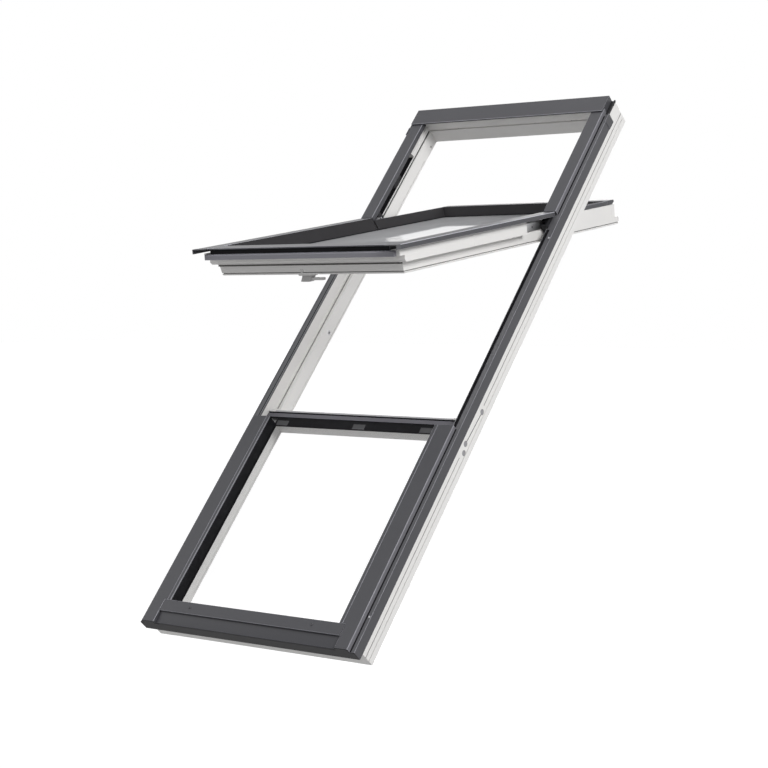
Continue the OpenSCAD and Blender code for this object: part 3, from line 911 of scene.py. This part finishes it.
    def finished(self, name: str) -> bpy.types.Object:
        """Makes the object, with normals that keep its flat faces flat.

        Args:
            name: The piece's name.

        Returns:
            The new object, linked to the scene.
        """
        bmesh.ops.recalc_face_normals(self.bm, faces=self.bm.faces[:])
        mesh = bpy.data.meshes.new(name)
        self.bm.to_mesh(mesh)
        self.bm.free()
        mesh.polygons.foreach_set("use_smooth", [True] * len(mesh.polygons))
        piece = bpy.data.objects.new(name, mesh)
        bpy.context.scene.collection.objects.link(piece)
        weighted = piece.modifiers.new("flat_faces", "WEIGHTED_NORMAL")
        weighted.mode = "FACE_AREA"
        weighted.weight = 80
        scene_graph = bpy.context.evaluated_depsgraph_get()
        final = bpy.data.meshes.new_from_object(
            piece.evaluated_get(scene_graph), preserve_all_data_layers=True, depsgraph=scene_graph
        )
        piece.modifiers.clear()
        piece.data = final
        bpy.data.meshes.remove(mesh)
        return piece


# Shared work of the sub-assemblies


class Bench:
    """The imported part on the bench: bodies and slots of its nodes, its axes, and the pieces made."""

    def __init__(self, layout: Layout) -> None:
        """Reads bodies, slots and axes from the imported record.

        Args:
            layout: Where the axes are found.
        """
        record = frame["record"]
        groups = record["behaviour"]["bodies"]
        self.bodies = {node: body for body, nodes in groups.items() for node in nodes}
        self.slots = {row["node"]: row["material_slot"] for row in record["subparts"]}
        self.fixed = layout.frame_axes()
        self.sash = layout.sash_axes()
        self.pieces: List[bpy.types.Object] = []

    def axes_of(self, body: str) -> Axes:
        """Gives the axes that a body's places are written in."""
        return self.fixed if body == Body.FRAME.value else self.sash

    def dress(
        self, piece: bpy.types.Object, finish: Finish, body: str, nodes: Sequence[str]
    ) -> None:
        """Gives a piece its finish, its body and the nodes that it stands for.

        Args:
            piece: The piece, in place.
            finish: Its finish.
            body: The body that carries it.
            nodes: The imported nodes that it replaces.
        """
        piece.data.materials.clear()
        piece.data.materials.append(finish.material())
        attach(piece, body)
        if nodes:
            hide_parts(*nodes)
        self.pieces.append(piece)

    def eased(
        self, node: str, finish: Finish, rounding: Rounding, second: Optional[Finish] = None, *zones: Zone
    ) -> None:
        """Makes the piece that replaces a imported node, with its sharp edges rounded.

        Args:
            node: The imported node.
            finish: Its finish.
            rounding: How its edges are rounded.
            second: A second finish for some of its faces.
            zones: Where those faces lie, in the axes of the node's body.
        """
        body = self.bodies[node]
        solid = Solid(self.axes_of(body))
        solid.take(frame["nodes"][node].data)
        solid.ease(rounding)
        piece = solid.finished(node + "_eased")
        self.dress(piece, finish, body, [node])
        if second:
            self.retouch(piece, solid.axes, second, zones)

    def made(
        self, name: str, solid: Solid, finish: Finish, body: Body, slot: Slot, *nodes: str
    ) -> None:
        """Finishes a piece that was drawn here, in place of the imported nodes, if any are named."""
        self.dress(solid.finished(name), finish, body.value, nodes)

    @staticmethod
    def retouch(piece: bpy.types.Object, axes: Axes, finish: Finish, zones: Sequence[Zone]) -> None:
        """Gives some faces of a dressed piece a second finish.

        Args:
            piece: The piece.
            axes: The axes in which its faces are looked up.
            finish: The second finish.
            zones: A face whose middle lies in any of these gets it.
        """
        piece.data.materials.append(finish.material())
        for polygon in piece.data.polygons:
            place = axes.of(polygon.center)
            if any(zone.holds(*place) for zone in zones):
                polygon.material_index = 1


@dataclass(frozen=True)
class Finishes:
    """Every finish on the window."""

    jamb: CoatedTimber
    rail: CoatedTimber
    stile: CoatedTimber
    # painted shade in the groove round the sash
    groove: CoatedTimber = CoatedTimber("groove_coat", color=(0.24, 0.237, 0.232))
    # painted shade in the grooves on the jambs' outer sides
    jamb_groove: CoatedTimber = CoatedTimber("jamb_groove_coat", color=(0.42, 0.415, 0.405))
    anthracite: CoatedSheet = CoatedSheet("anthracite_coat")
    # sash covers: a stronger painted highlight along their folded edges
    sash_sheet: CoatedSheet = CoatedSheet("sash_coat", edge_gain=8.0)
    # painted light: the web's top face lighter than the rest of the cladding, as where light falls on it; the
    # upstands take it too
    web: CoatedSheet = CoatedSheet("web_coat", color=(0.12, 0.12, 0.128), edge_gain=2.4)
    # painted light: the covers' outer legs lighter than their tops, as where light falls on them
    leg: CoatedSheet = CoatedSheet("leg_coat", color=(0.18, 0.178, 0.195), edge_gain=1.8)
    # painted shade: the gutter darker than the other covers, as under the sill strip
    gutter: CoatedSheet = CoatedSheet("gutter_coat", color=(0.046, 0.046, 0.052), edge_gain=3.0)
    nose: CoatedSheet = CoatedSheet("nose_coat", color=(0.24, 0.238, 0.265), edge_gain=1.6)
    grey: CoatedSheet = CoatedSheet("grey_coat", color=(0.115, 0.113, 0.128), edge_gain=2.6)
    # pale strip on the transom's rib, toned partly as painted highlight
    trim: CoatedSheet = CoatedSheet("pale_trim", color=(0.40, 0.40, 0.41), edge_gain=1.5)
    # black sealing rubber, also used as painted shade in the claddings' channels
    rubber: Rubber = Rubber("sealing_rubber")
    # the seal at the sash's foot in grey: partly the real seal and partly painted shade, the dark line there
    seal: Rubber = Rubber("grey_seal", color=(0.10, 0.098, 0.094))
    pale_seal: Rubber = Rubber("pale_seal", color=(0.20, 0.197, 0.19))
    glass: PaneGlass = PaneGlass("pane_glass")
    spacer: BrushedMetal = BrushedMetal("spacer_bar", color=(0.42, 0.42, 0.43), roughness=0.39)
    steel: BrushedMetal = BrushedMetal("plated_steel")
    dark_steel: BrushedMetal = BrushedMetal("dark_steel", color=(0.16, 0.16, 0.17), roughness=0.36)
    # dark liner of the sash covers' inner legs, beads' slopes and corner plugs, and painted shade on the gutter's
    # front face
    lining: MouldedPlastic = MouldedPlastic("leg_lining", color=(0.026, 0.025, 0.027), gloss=0.1)
    black: MouldedPlastic = MouldedPlastic("black_moulding", color=(0.016, 0.016, 0.018))
    # dark moulding of the clips, also used as painted shade for the strips on the jambs' outer sides
    dark_moulding: MouldedPlastic = MouldedPlastic("dark_moulding", color=(0.05, 0.05, 0.053))
    grey_moulding: MouldedPlastic = MouldedPlastic("grey_moulding", color=(0.30, 0.30, 0.31))
    lever: MouldedPlastic = MouldedPlastic("lever_moulding", color=(0.60, 0.595, 0.59))
    cap: MouldedPlastic = MouldedPlastic("cap_moulding", color=(0.085, 0.085, 0.092))
    white_moulding: MouldedPlastic = MouldedPlastic("white_moulding", color=(0.74, 0.73, 0.72))


def window_finishes(bench: Bench) -> Finishes:
    """Makes the set of finishes, with the timber's grain along each piece.

    Args:
        bench: The part on the bench.

    Returns:
        The finishes.
    """
    return Finishes(
        jamb=CoatedTimber("jamb_coat", grain=bench.fixed.grain_v()),
        rail=CoatedTimber("rail_coat", grain=(1.0, 0.0, 0.0)),
        stile=CoatedTimber("stile_coat", grain=bench.sash.grain_v()),
    )


# Sub-assemblies


@dataclass
class Assembly:
    """A sub-assembly, with the bench that it is built on and the finishes of the window.

    Sizes are in millimetres on the window's axes: u across, v up the slope and n outward. Outlines
    are (u, n) where they are drawn up the slope and (v, n) where they are drawn across.
    """

    bench: Bench
    look: Finishes

    def build(self) -> None:
        """Builds the pieces in order."""
        raise NotImplementedError(type(self).__name__)


@dataclass
class TimberFrame(Assembly):
    """The fixed white frame: jambs, head, sill and transom with their small inserts, and dark strips of painted
    shade on the jambs' outer sides.
    """

    arris: Rounding = Rounding(0.8)
    insert_arris: Rounding = Rounding(0.5)
    # faces in the jambs' outer grooves, which get painted shade
    groove: Zone = Zone(aside=(386.5, 389.5), n=(3.0, 54.0))
    strip_arris: Rounding = Rounding(0.15)
    strip_ends: Outline = ((724.0, 39.5), (829.0, 33.5))
    strip_outline: Outline = ((389.8, -1.2), (390.5, -0.9), (390.5, 0.9), (389.8, 1.2))

    def build(self) -> None:
        """Builds the timbers, then their fillers, connectors, keeper and bushing."""
        bench, look = self.bench, self.look
        for side in Side:
            bench.eased(side.node("jamb"), look.jamb, self.arris, look.jamb_groove, self.groove)
        for rail in ("head_rail", "sill_rail", "transom"):
            bench.eased(rail, look.rail, self.arris)
        for side in Side:
            bench.eased(side.node("rebate_filler"), look.white_moulding, self.insert_arris)
        bench.eased("transom_connectors", look.grey_moulding, self.insert_arris)
        self.connector_strips()
        for insert in ("latch_keeper", "bolt_bushing"):
            bench.eased(insert, look.steel, self.insert_arris)

    def connector_strips(self) -> None:
        """Draws narrow dark strips between the connectors on the outer sides: painted shade along the groove
        there.
        """
        work = Solid(self.bench.fixed)
        for side in Side:
            outline = side.mirrored(self.strip_outline)
            work.skin([
                work.loop([(u, v, n + rise) for u, rise in outline]) for v, n in self.strip_ends
            ])
        work.ease(self.strip_arris)
        self.bench.made("connector_strips", work, self.look.dark_moulding, Body.FRAME, Slot.GREY_PLASTIC)


@dataclass
class FrameCovers(Assembly):
    """The folded covers outside the frame, with the strips and clips between them."""

    fold: Rounding = Rounding(0.35, narrow=1.8)
    cap_fold: Rounding = Rounding(0.8)
    # the web's top faces, which get the painted light
    web: Zone = Zone(aside=below(388.0), n=above(89.5))
    # the covers' outer legs, which get the painted light
    outer_leg: Zone = Zone(aside=above(375.8), n=above(89.5))
    # the gutter's front face, which gets painted shade
    gutter_front: Zone = Zone(v=below(-17.0))
    strip_groove: Zone = Zone(v=below(776.1), n=below(68.6))
    stand_fold: Rounding = Rounding(0.3, narrow=1.8)
    stand_v: Span = (734.0, 1500.0)
    stand_outline: Outline = ((364.2, 89.8), (365.8, 89.8), (365.8, 94.6), (364.2, 94.6))
    shade_strip_arris: Rounding = Rounding(0.3)
    # black strip behind the upstand: painted shade in the channel
    channel_shade_outline: Outline = (
        (365.6, 89.8), (373.2, 89.8), (373.2, 91.2), (367.0, 91.2), (367.0, 94.2), (365.6, 94.2),
    )
    # black lines where the covers' legs meet the web: painted shade
    bead_v: Tuple[Span, ...] = ((-16.0, 730.0), (1566.0, 1992.0))
    shade_line_outline: Outline = ((375.9, 89.8), (379.4, 89.8), (378.4, 91.2), (375.9, 92.2))
    rib_arris: Rounding = Rounding(0.2)
    rib_half: float = 362.0
    rib_outline: Outline = ((776.3, 70.0), (781.7, 70.0), (781.4, 70.6), (776.6, 70.6))
    end_arris: Rounding = Rounding(0.3)
    end_u: Span = (336.0, 362.0)
    end_outline: Outline = ((776.0, 70.0), (782.0, 70.0), (783.0, 70.8), (782.0, 71.8), (776.6, 71.8))
    clip_arris: Rounding = Rounding(0.3)
    clip_u: Tuple[float, ...] = (-285.0, 11.0, 258.0)
    clip_half: float = 22.0
    clip_outline: Outline = (
        (725.5, 67.0), (744.0, 67.0), (744.0, 69.4), (741.0, 69.4),
        (739.0, 68.4), (729.5, 68.4), (727.5, 69.0), (725.5, 69.0),
    )

    def build(self) -> None:
        """Builds the covers, the head's caps, the sill pieces and the transom's dressing."""
        bench, look = self.bench, self.look
        for side in Side:
            for cover in ("upper_cover", "lower_cover"):
                bench.eased(side.node(cover), look.anthracite, self.fold, look.leg, self.outer_leg)
            bench.eased(side.node("side_cladding"), look.anthracite, self.fold, look.web, self.web)
            bench.eased(side.node("head_cap"), look.black, self.cap_fold)
        for cover in ("head_cover", "sill_strip"):
            bench.eased(cover, look.anthracite, self.fold)
        bench.eased("sill_gutter", look.gutter, self.fold, look.lining, self.gutter_front)
        bench.eased("transom_cover", look.grey, self.fold, look.rubber, self.strip_groove)
        self.web_upstands()
        self.rib_trim()
        self.clips()

    def web_upstands(self) -> None:
        """Draws the upstand along the web's inner edge, with black strips behind it and beside the covers that are
        painted shade.
        """
        # the second solid holds the black strips of painted shade
        sheet, rubber = Solid(self.bench.fixed), Solid(self.bench.fixed)
        for side in Side:
            sheet.upward(*self.stand_v, side.mirrored(self.stand_outline))
            rubber.upward(*self.stand_v, side.mirrored(self.channel_shade_outline))
            for span in self.bead_v:
                rubber.upward(*span, side.mirrored(self.shade_line_outline))
        sheet.ease(self.stand_fold)
        rubber.ease(self.shade_strip_arris)
        self.bench.made("web_upstands", sheet, self.look.web, Body.FRAME, Slot.ANTHRACITE)
        self.bench.made("web_rubbers", rubber, self.look.rubber, Body.FRAME, Slot.GASKET)

    def rib_trim(self) -> None:
        """Draws the pale strip on the transom's rib and the white blocks at its ends, whose light tone is partly
        painted highlight.
        """
        strip, ends = Solid(self.bench.fixed), Solid(self.bench.fixed)
        strip.across(-self.rib_half, self.rib_half, self.rib_outline)
        strip.ease(self.rib_arris)
        self.bench.made("transom_rib_trim", strip, self.look.trim, Body.FRAME, Slot.GREY_SHEET)
        for side in Side:
            # white end blocks stand partly for the bright highlights at the rib's ends
            ends.across(*side.stretch(*self.end_u), self.end_outline)
        ends.ease(self.end_arris)
        self.bench.made("transom_rib_ends", ends, self.look.white_moulding, Body.FRAME, Slot.WHITE_PLASTIC)

    def clips(self) -> None:
        """Draws the three clips that hold the fixed light's upper gasket."""
        work = Solid(self.bench.fixed)
        for u in self.clip_u:
            work.across(u - self.clip_half, u + self.clip_half, self.clip_outline)
        work.ease(self.clip_arris)
        self.bench.made("light_clips", work, self.look.dark_moulding, Body.FRAME, Slot.BLACK_PLASTIC)


@dataclass
class Glazing(Assembly):
    """One sealed unit: two panes, a spacer and its outer and inner gaskets."""

    prefix: str
    body: Body
    lip_half: float
    lip_v: Span
    lip_outline: Outline = ((0.0, 66.2), (0.0, 67.6), (0.8, 68.4), (2.2, 68.2), (3.0, 67.0), (3.2, 65.2))
    lip_arris: Rounding = Rounding(0.2)
    pane_arris: Rounding = Rounding(0.5)
    gasket_arris: Rounding = Rounding(0.6)

    def build(self) -> None:
        """Builds the panes, what holds them and the lip that wipes the outer pane."""
        bench, look = self.bench, self.look
        for pane in ("outer_pane", "inner_pane"):
            bench.eased(f"{self.prefix}_{pane}", look.glass, self.pane_arris)
        bench.eased(f"{self.prefix}_spacer", look.spacer, self.pane_arris)
        for seal in ("gasket", "setting"):
            bench.eased(f"{self.prefix}_{seal}", look.rubber, self.gasket_arris)
        self.lip()

    def lip(self) -> None:
        """Draws the rounded lip along the outer gasket's inner edge."""
        work = Solid(self.bench.axes_of(self.body.value))
        work.border(self.lip_half, *self.lip_v, self.lip_outline)
        work.ease(self.lip_arris)
        self.bench.made(f"{self.prefix}_gasket_lip", work, self.look.rubber, self.body, Slot.GASKET)


@dataclass
class Hinges(Assembly):
    """Both curved-track hinges with their stops and the rebate's seals."""

    housing_arris: Rounding = Rounding(0.6)
    arm_arris: Rounding = Rounding(0.4)
    stop_arris: Rounding = Rounding(1.2)
    seal_arris: Rounding = Rounding(0.4)
    lower_seal: Zone = Zone(v=below(1532.0))
    screw_u: float = 339.5
    screw_v: Tuple[float, ...] = (1442.0, 1482.0, 1532.0)
    screw_n: float = 69.0
    screw: ScrewSize = ScrewSize(3.4, 0.3, 2.0)

    def build(self) -> None:
        """Builds housings, arms, stops, seals and the arms' screws."""
        bench, look = self.bench, self.look
        for side in Side:
            bench.eased(side.node("hinge_housing"), look.black, self.housing_arris)
            bench.eased(side.node("hinge_arm"), look.steel, self.arm_arris)
            bench.eased(side.node("stop_block"), look.black, self.stop_arris)
            seal = side.node("frame_seal")
            bench.eased(seal, look.rubber, self.seal_arris, look.pale_seal, self.lower_seal)
        self.arm_screws()

    def arm_screws(self) -> None:
        """Draws the flush screws that hold the arms to the stiles."""
        work = Solid(self.bench.sash)
        for side in Side:
            for v in self.screw_v:
                place = (side.value * self.screw_u, v, self.screw_n)
                work.screw(place, Vector((side.value, 0.0, 0.0)), self.screw)
        self.bench.made("hinge_arm_screws", work, self.look.dark_steel, Body.SASH, Slot.STEEL)


@dataclass
class SashTimber(Assembly):
    """The white sash: stiles and rails with the groove round them, and the seals at foot and top."""

    arris: Rounding = Rounding(0.8)
    # faces in the groove round the sash, which get painted shade
    groove: Tuple[Zone, ...] = (
        Zone(v=below(817.0), n=(22.9, 25.6)),
        Zone(aside=above(333.5), n=(22.9, 25.6)),
    )
    seal_arris: Rounding = Rounding(0.4)
    # the seal's faces at the sash's foot, which get the grey painted shade
    foot_seal: Zone = Zone(v=below(817.0))

    def build(self) -> None:
        """Builds the sash's timbers, grooved ones with painted shade in the groove, and its seals."""
        bench, look = self.bench, self.look
        grooved = {side.node("stile"): look.stile for side in Side}
        grooved["sash_bottom_rail"] = look.rail
        for node, finish in grooved.items():
            bench.eased(node, finish, self.arris, look.groove, *self.groove)
        bench.eased("sash_top_rail", look.rail, self.arris)
        bench.eased("sash_seals", look.rubber, self.seal_arris, look.seal, self.foot_seal)


@dataclass
class SashCovers(Assembly):
    """The covers and beads outside the sash."""

    fold: Rounding = Rounding(0.4, narrow=1.8)
    inner_leg: Zone = Zone(aside=below(329.0), n=below(105.0))
    bead_slope: Zone = Zone(aside=below(326.0), v=below(1972.0), n=below(98.0))
    nose: Zone = Zone(v=below(767.0), n=below(88.4))
    cap_arris: Rounding = Rounding(0.3)
    cap_v: Span = (735.4, 754.0)
    cap_outline: Outline = (
        (373.8, 92.0), (376.4, 92.0), (376.4, 105.4), (375.4, 106.4),
        (331.6, 106.4), (331.6, 103.8), (373.8, 103.8),
    )
    plug_arris: Rounding = Rounding(0.4)
    plug_u: Span = (319.5, 345.0)
    plug_outline: Outline = (
        (835.5, 91.5), (860.0, 66.8), (863.0, 66.8), (863.0, 101.0), (850.0, 101.0), (836.5, 93.0),
    )
    strip_arris: Rounding = Rounding(0.3)
    strip_half: float = 330.0
    strip_outline: Outline = ((764.0, 88.2), (764.0, 100.8), (762.6, 100.2), (762.6, 88.8))

    def build(self) -> None:
        """Builds covers, beads, end caps, corner plugs and the strip above the bottom cover's nose."""
        bench, look = self.bench, self.look
        for side in Side:
            bench.eased(side.node("sash_cover"), look.sash_sheet, self.fold, look.lining, self.inner_leg)
            bench.eased(side.node("upper_bead"), look.anthracite, self.fold, look.lining, self.bead_slope)
        bench.eased("sash_top_bead", look.anthracite, self.fold, look.lining, self.bead_slope)
        bench.eased("sash_bottom_cover", look.anthracite, self.fold, look.nose, self.nose)
        self.end_caps()
        self.corner_plugs()
        self.recess_strip()

    def end_caps(self) -> None:
        """Draws the caps that sleeve the lower ends of the covers."""
        work = Solid(self.bench.sash)
        for side in Side:
            work.upward(*self.cap_v, side.mirrored(self.cap_outline))
        work.ease(self.cap_arris)
        self.bench.made("sash_cover_caps", work, self.look.cap, Body.SASH, Slot.GREY_PLASTIC)

    def corner_plugs(self) -> None:
        """Draws the plugs that close the corners between bottom cover and side covers."""
        work = Solid(self.bench.sash)
        for side in Side:
            work.across(*side.stretch(*self.plug_u), self.plug_outline)
        work.ease(self.plug_arris)
        self.bench.made("sash_corner_plugs", work, self.look.lining, Body.SASH, Slot.BLACK_PLASTIC)

    def recess_strip(self) -> None:
        """Draws the rubber strip in the recess above the nose."""
        work = Solid(self.bench.sash)
        work.across(-self.strip_half, self.strip_half, self.strip_outline)
        work.ease(self.strip_arris)
        self.bench.made("nose_recess_strip", work, self.look.rubber, Body.SASH, Slot.GASKET)


@dataclass
class Fittings(Assembly):
    """Handle, latch and cleaning bolt."""

    base_arris: Rounding = Rounding(1.2, steps=3)
    lever_arris: Rounding = Rounding(1.6, steps=3)
    latch_arris: Rounding = Rounding(1.0, steps=3)
    case_arris: Rounding = Rounding(0.5)
    bolt_arris: Rounding = Rounding(0.6)
    lever_arm: Zone = Zone(u=above(-10.5))
    rib_arris: Rounding = Rounding(0.2)
    rib_u: Span = (-41.0, -15.0)
    rib_v: Tuple[float, ...] = (827.5, 831.5, 835.5, 839.5)
    rib_outline: Outline = ((-0.9, -3.7), (0.9, -3.7), (0.5, -4.8), (-0.5, -4.8))

    def build(self) -> None:
        """Builds the fittings on the sash's room side."""
        bench, look = self.bench, self.look
        bench.eased("handle_base", look.white_moulding, self.base_arris)
        bench.eased("handle_lever", look.lever, self.lever_arris, look.white_moulding, self.lever_arm)
        self.grip_ribs()
        bench.eased("lock_case", look.steel, self.case_arris)
        bench.eased("latch_bolt", look.white_moulding, self.latch_arris)
        for node in ("bolt_housing", "cleaning_bolt"):
            bench.eased(node, look.steel, self.bolt_arris)

    def grip_ribs(self) -> None:
        """Draws the ribs on the lever's block, where a hand takes hold."""
        work = Solid(self.bench.sash)
        for v in self.rib_v:
            work.across(*self.rib_u, [(v + up, n) for up, n in self.rib_outline])
        work.ease(self.rib_arris)
        self.bench.made("handle_grip_ribs", work, self.look.lever, Body.LEVER, Slot.STEEL)


@dataclass
class Screws(Assembly):
    """The visible screws of the frame: bright ones in the channels, dark ones in strip and head."""

    side_u: float = 384.5
    side_v: Span = (95.0, 1466.0)
    side_n: float = 90.0
    side_screw: ScrewSize = ScrewSize(3.4, 2.0, 16.0)
    strip_u: float = 224.0
    strip_v: float = 40.5
    strip_n: float = 106.0
    strip_screw: ScrewSize = ScrewSize(4.5, 1.6, 9.0)
    head_u: Tuple[float, ...] = (-224.0, 84.0, 224.0)
    head_v: float = 2028.0
    head_n: float = 53.0
    head_screw: ScrewSize = ScrewSize(2.7, 2.0, 16.0)
    housing_u: float = 344.0
    housing_v: Span = (1516.0, 1608.0)
    housing_n: float = 58.0
    housing_screw: ScrewSize = ScrewSize(4.2, 3.0, 0.5)

    def build(self) -> None:
        """Draws every screw."""
        axes = self.bench.fixed
        bright, dark = Solid(axes), Solid(axes)
        for side in Side:
            inward = Vector((-side.value, 0.0, 0.0))
            for v in self.side_v:
                bright.screw((side.value * self.side_u, v, self.side_n), axes.n_axis, self.side_screw)
            place = (side.value * self.strip_u, self.strip_v, self.strip_n)
            dark.screw(place, axes.n_axis, self.strip_screw)
            for v in self.housing_v:
                bright.screw((side.value * self.housing_u, v, self.housing_n), inward, self.housing_screw)
        for u in self.head_u:
            dark.screw((u, self.head_v, self.head_n), -axes.v_axis, self.head_screw)
        self.bench.made("frame_screws_set", bright, self.look.steel, Body.FRAME, Slot.STEEL, "frame_screws")
        self.bench.made("dark_screws_set", dark, self.look.anthracite, Body.FRAME, Slot.STEEL)


# Studio


@dataclass(frozen=True)
class Lamp:
    """A soft square lamp: its place and its side in metres, and its power in watts."""

    name: str
    place: Place
    side: float
    power: float

    def hang(self, aim: Place) -> None:
        """Hangs the lamp in the scene.

        Args:
            aim: The place that it faces.
        """
        data = bpy.data.lights.new(self.name, "AREA")
        data.shape = "SQUARE"
        data.size = self.side
        data.energy = self.power
        lamp = bpy.data.objects.new(self.name, data)
        lamp.location = self.place
        lamp.rotation_euler = (Vector(aim) - Vector(self.place)).to_track_quat("-Z", "Y").to_euler()
        bpy.context.scene.collection.objects.link(lamp)


@dataclass
class Studio:
    """A plain pale floor, soft lamps and the camera."""

    floor_z: float = -0.95
    floor_half: float = 60.0
    floor_finish: PaleFloor = PaleFloor("pale_floor")
    daylight: RGB = (0.24, 0.24, 0.245)
    lamps: Tuple[Lamp, ...] = (
        Lamp("key_lamp", (6.0, -1.5, 4.5), 3.0, 395.0),
        Lamp("top_lamp", (0.0, -1.0, 6.0), 4.0, 107.0),
        Lamp("left_fill", (-5.0, -2.5, 2.5), 4.0, 80.0),
        Lamp("back_fill", (-1.0, 6.0, 1.0), 4.0, 130.0),
    )
    lamp_aim: Place = (0.0, 0.6, 0.75)
    camera_place: Place = (3.2953, -3.8277, 0.9564)
    camera_azimuth: float = 36.934
    camera_down: float = 2.624
    lens: float = 84.65

    def build(self) -> None:
        """Builds the stage, the world, the lamps and the camera."""
        self.floor()
        self.world()
        for lamp in self.lamps:
            lamp.hang(self.lamp_aim)
        self.camera()

    def floor(self) -> None:
        """Lays the floor, well below the window."""
        turns = ((-1, -1), (1, -1), (1, 1), (-1, 1))
        corners = [(x * self.floor_half, y * self.floor_half, self.floor_z) for x, y in turns]
        mesh = bpy.data.meshes.new("studio_floor")
        mesh.from_pydata(corners, [], [(0, 1, 2, 3)])
        mesh.materials.append(self.floor_finish.material())
        floor = bpy.data.objects.new("studio_floor", mesh)
        bpy.context.scene.collection.objects.link(floor)

    def world(self) -> None:
        """Sets a white background and a soft even light from all round."""
        world = bpy.data.worlds.new("studio_world")
        world.use_nodes = True
        bpy.context.scene.world = world
        graph = Graph(world.node_tree)
        light = graph.blend(graph.seen(), rgba(self.daylight), rgba(WHITE))
        shine = graph.node("ShaderNodeBackground", inputs={"Color": light, "Strength": 1.0})
        graph.node("ShaderNodeOutputWorld", inputs={"Surface": shine})

    def camera(self) -> None:
        """Sets the camera at the photograph's place and angle."""
        data = bpy.data.cameras.new("photo_camera")
        data.lens = self.lens
        camera = bpy.data.objects.new("photo_camera", data)
        camera.location = self.camera_place
        turn = (math.radians(90.0 - self.camera_down), 0.0, math.radians(self.camera_azimuth))
        camera.rotation_euler = Euler(turn)
        bpy.context.scene.collection.objects.link(camera)
        bpy.context.scene.camera = camera
        bpy.context.scene.view_settings.view_transform = "Standard"


def main() -> None:
    """Builds the window's sub-assemblies in order and reports their pieces, then builds the studio."""
    logging.basicConfig(level=logging.INFO, format="%(name)s: %(message)s")
    bench = Bench(Layout())
    look = window_finishes(bench)
    assemblies = (
        TimberFrame(bench, look),
        FrameCovers(bench, look),
        Glazing(bench, look, prefix="lower", body=Body.FRAME, lip_half=309.5, lip_v=(58.5, 727.0)),
        Hinges(bench, look),
        SashTimber(bench, look),
        SashCovers(bench, look),
        Glazing(bench, look, prefix="sash", body=Body.SASH, lip_half=309.0, lip_v=(861.5, 1947.5)),
        Fittings(bench, look),
        Screws(bench, look),
    )
    for assembly in assemblies:
        done = len(bench.pieces)
        assembly.build()
        group = type(assembly).__name__
        for piece in bench.pieces[done:]:
            mesh = piece.data
            LOG.info("%s: %s in %s, %d faces", group, piece.name, mesh.materials[0].name, len(mesh.polygons))
    Studio().build()


if __name__ == "__main__":
    main()
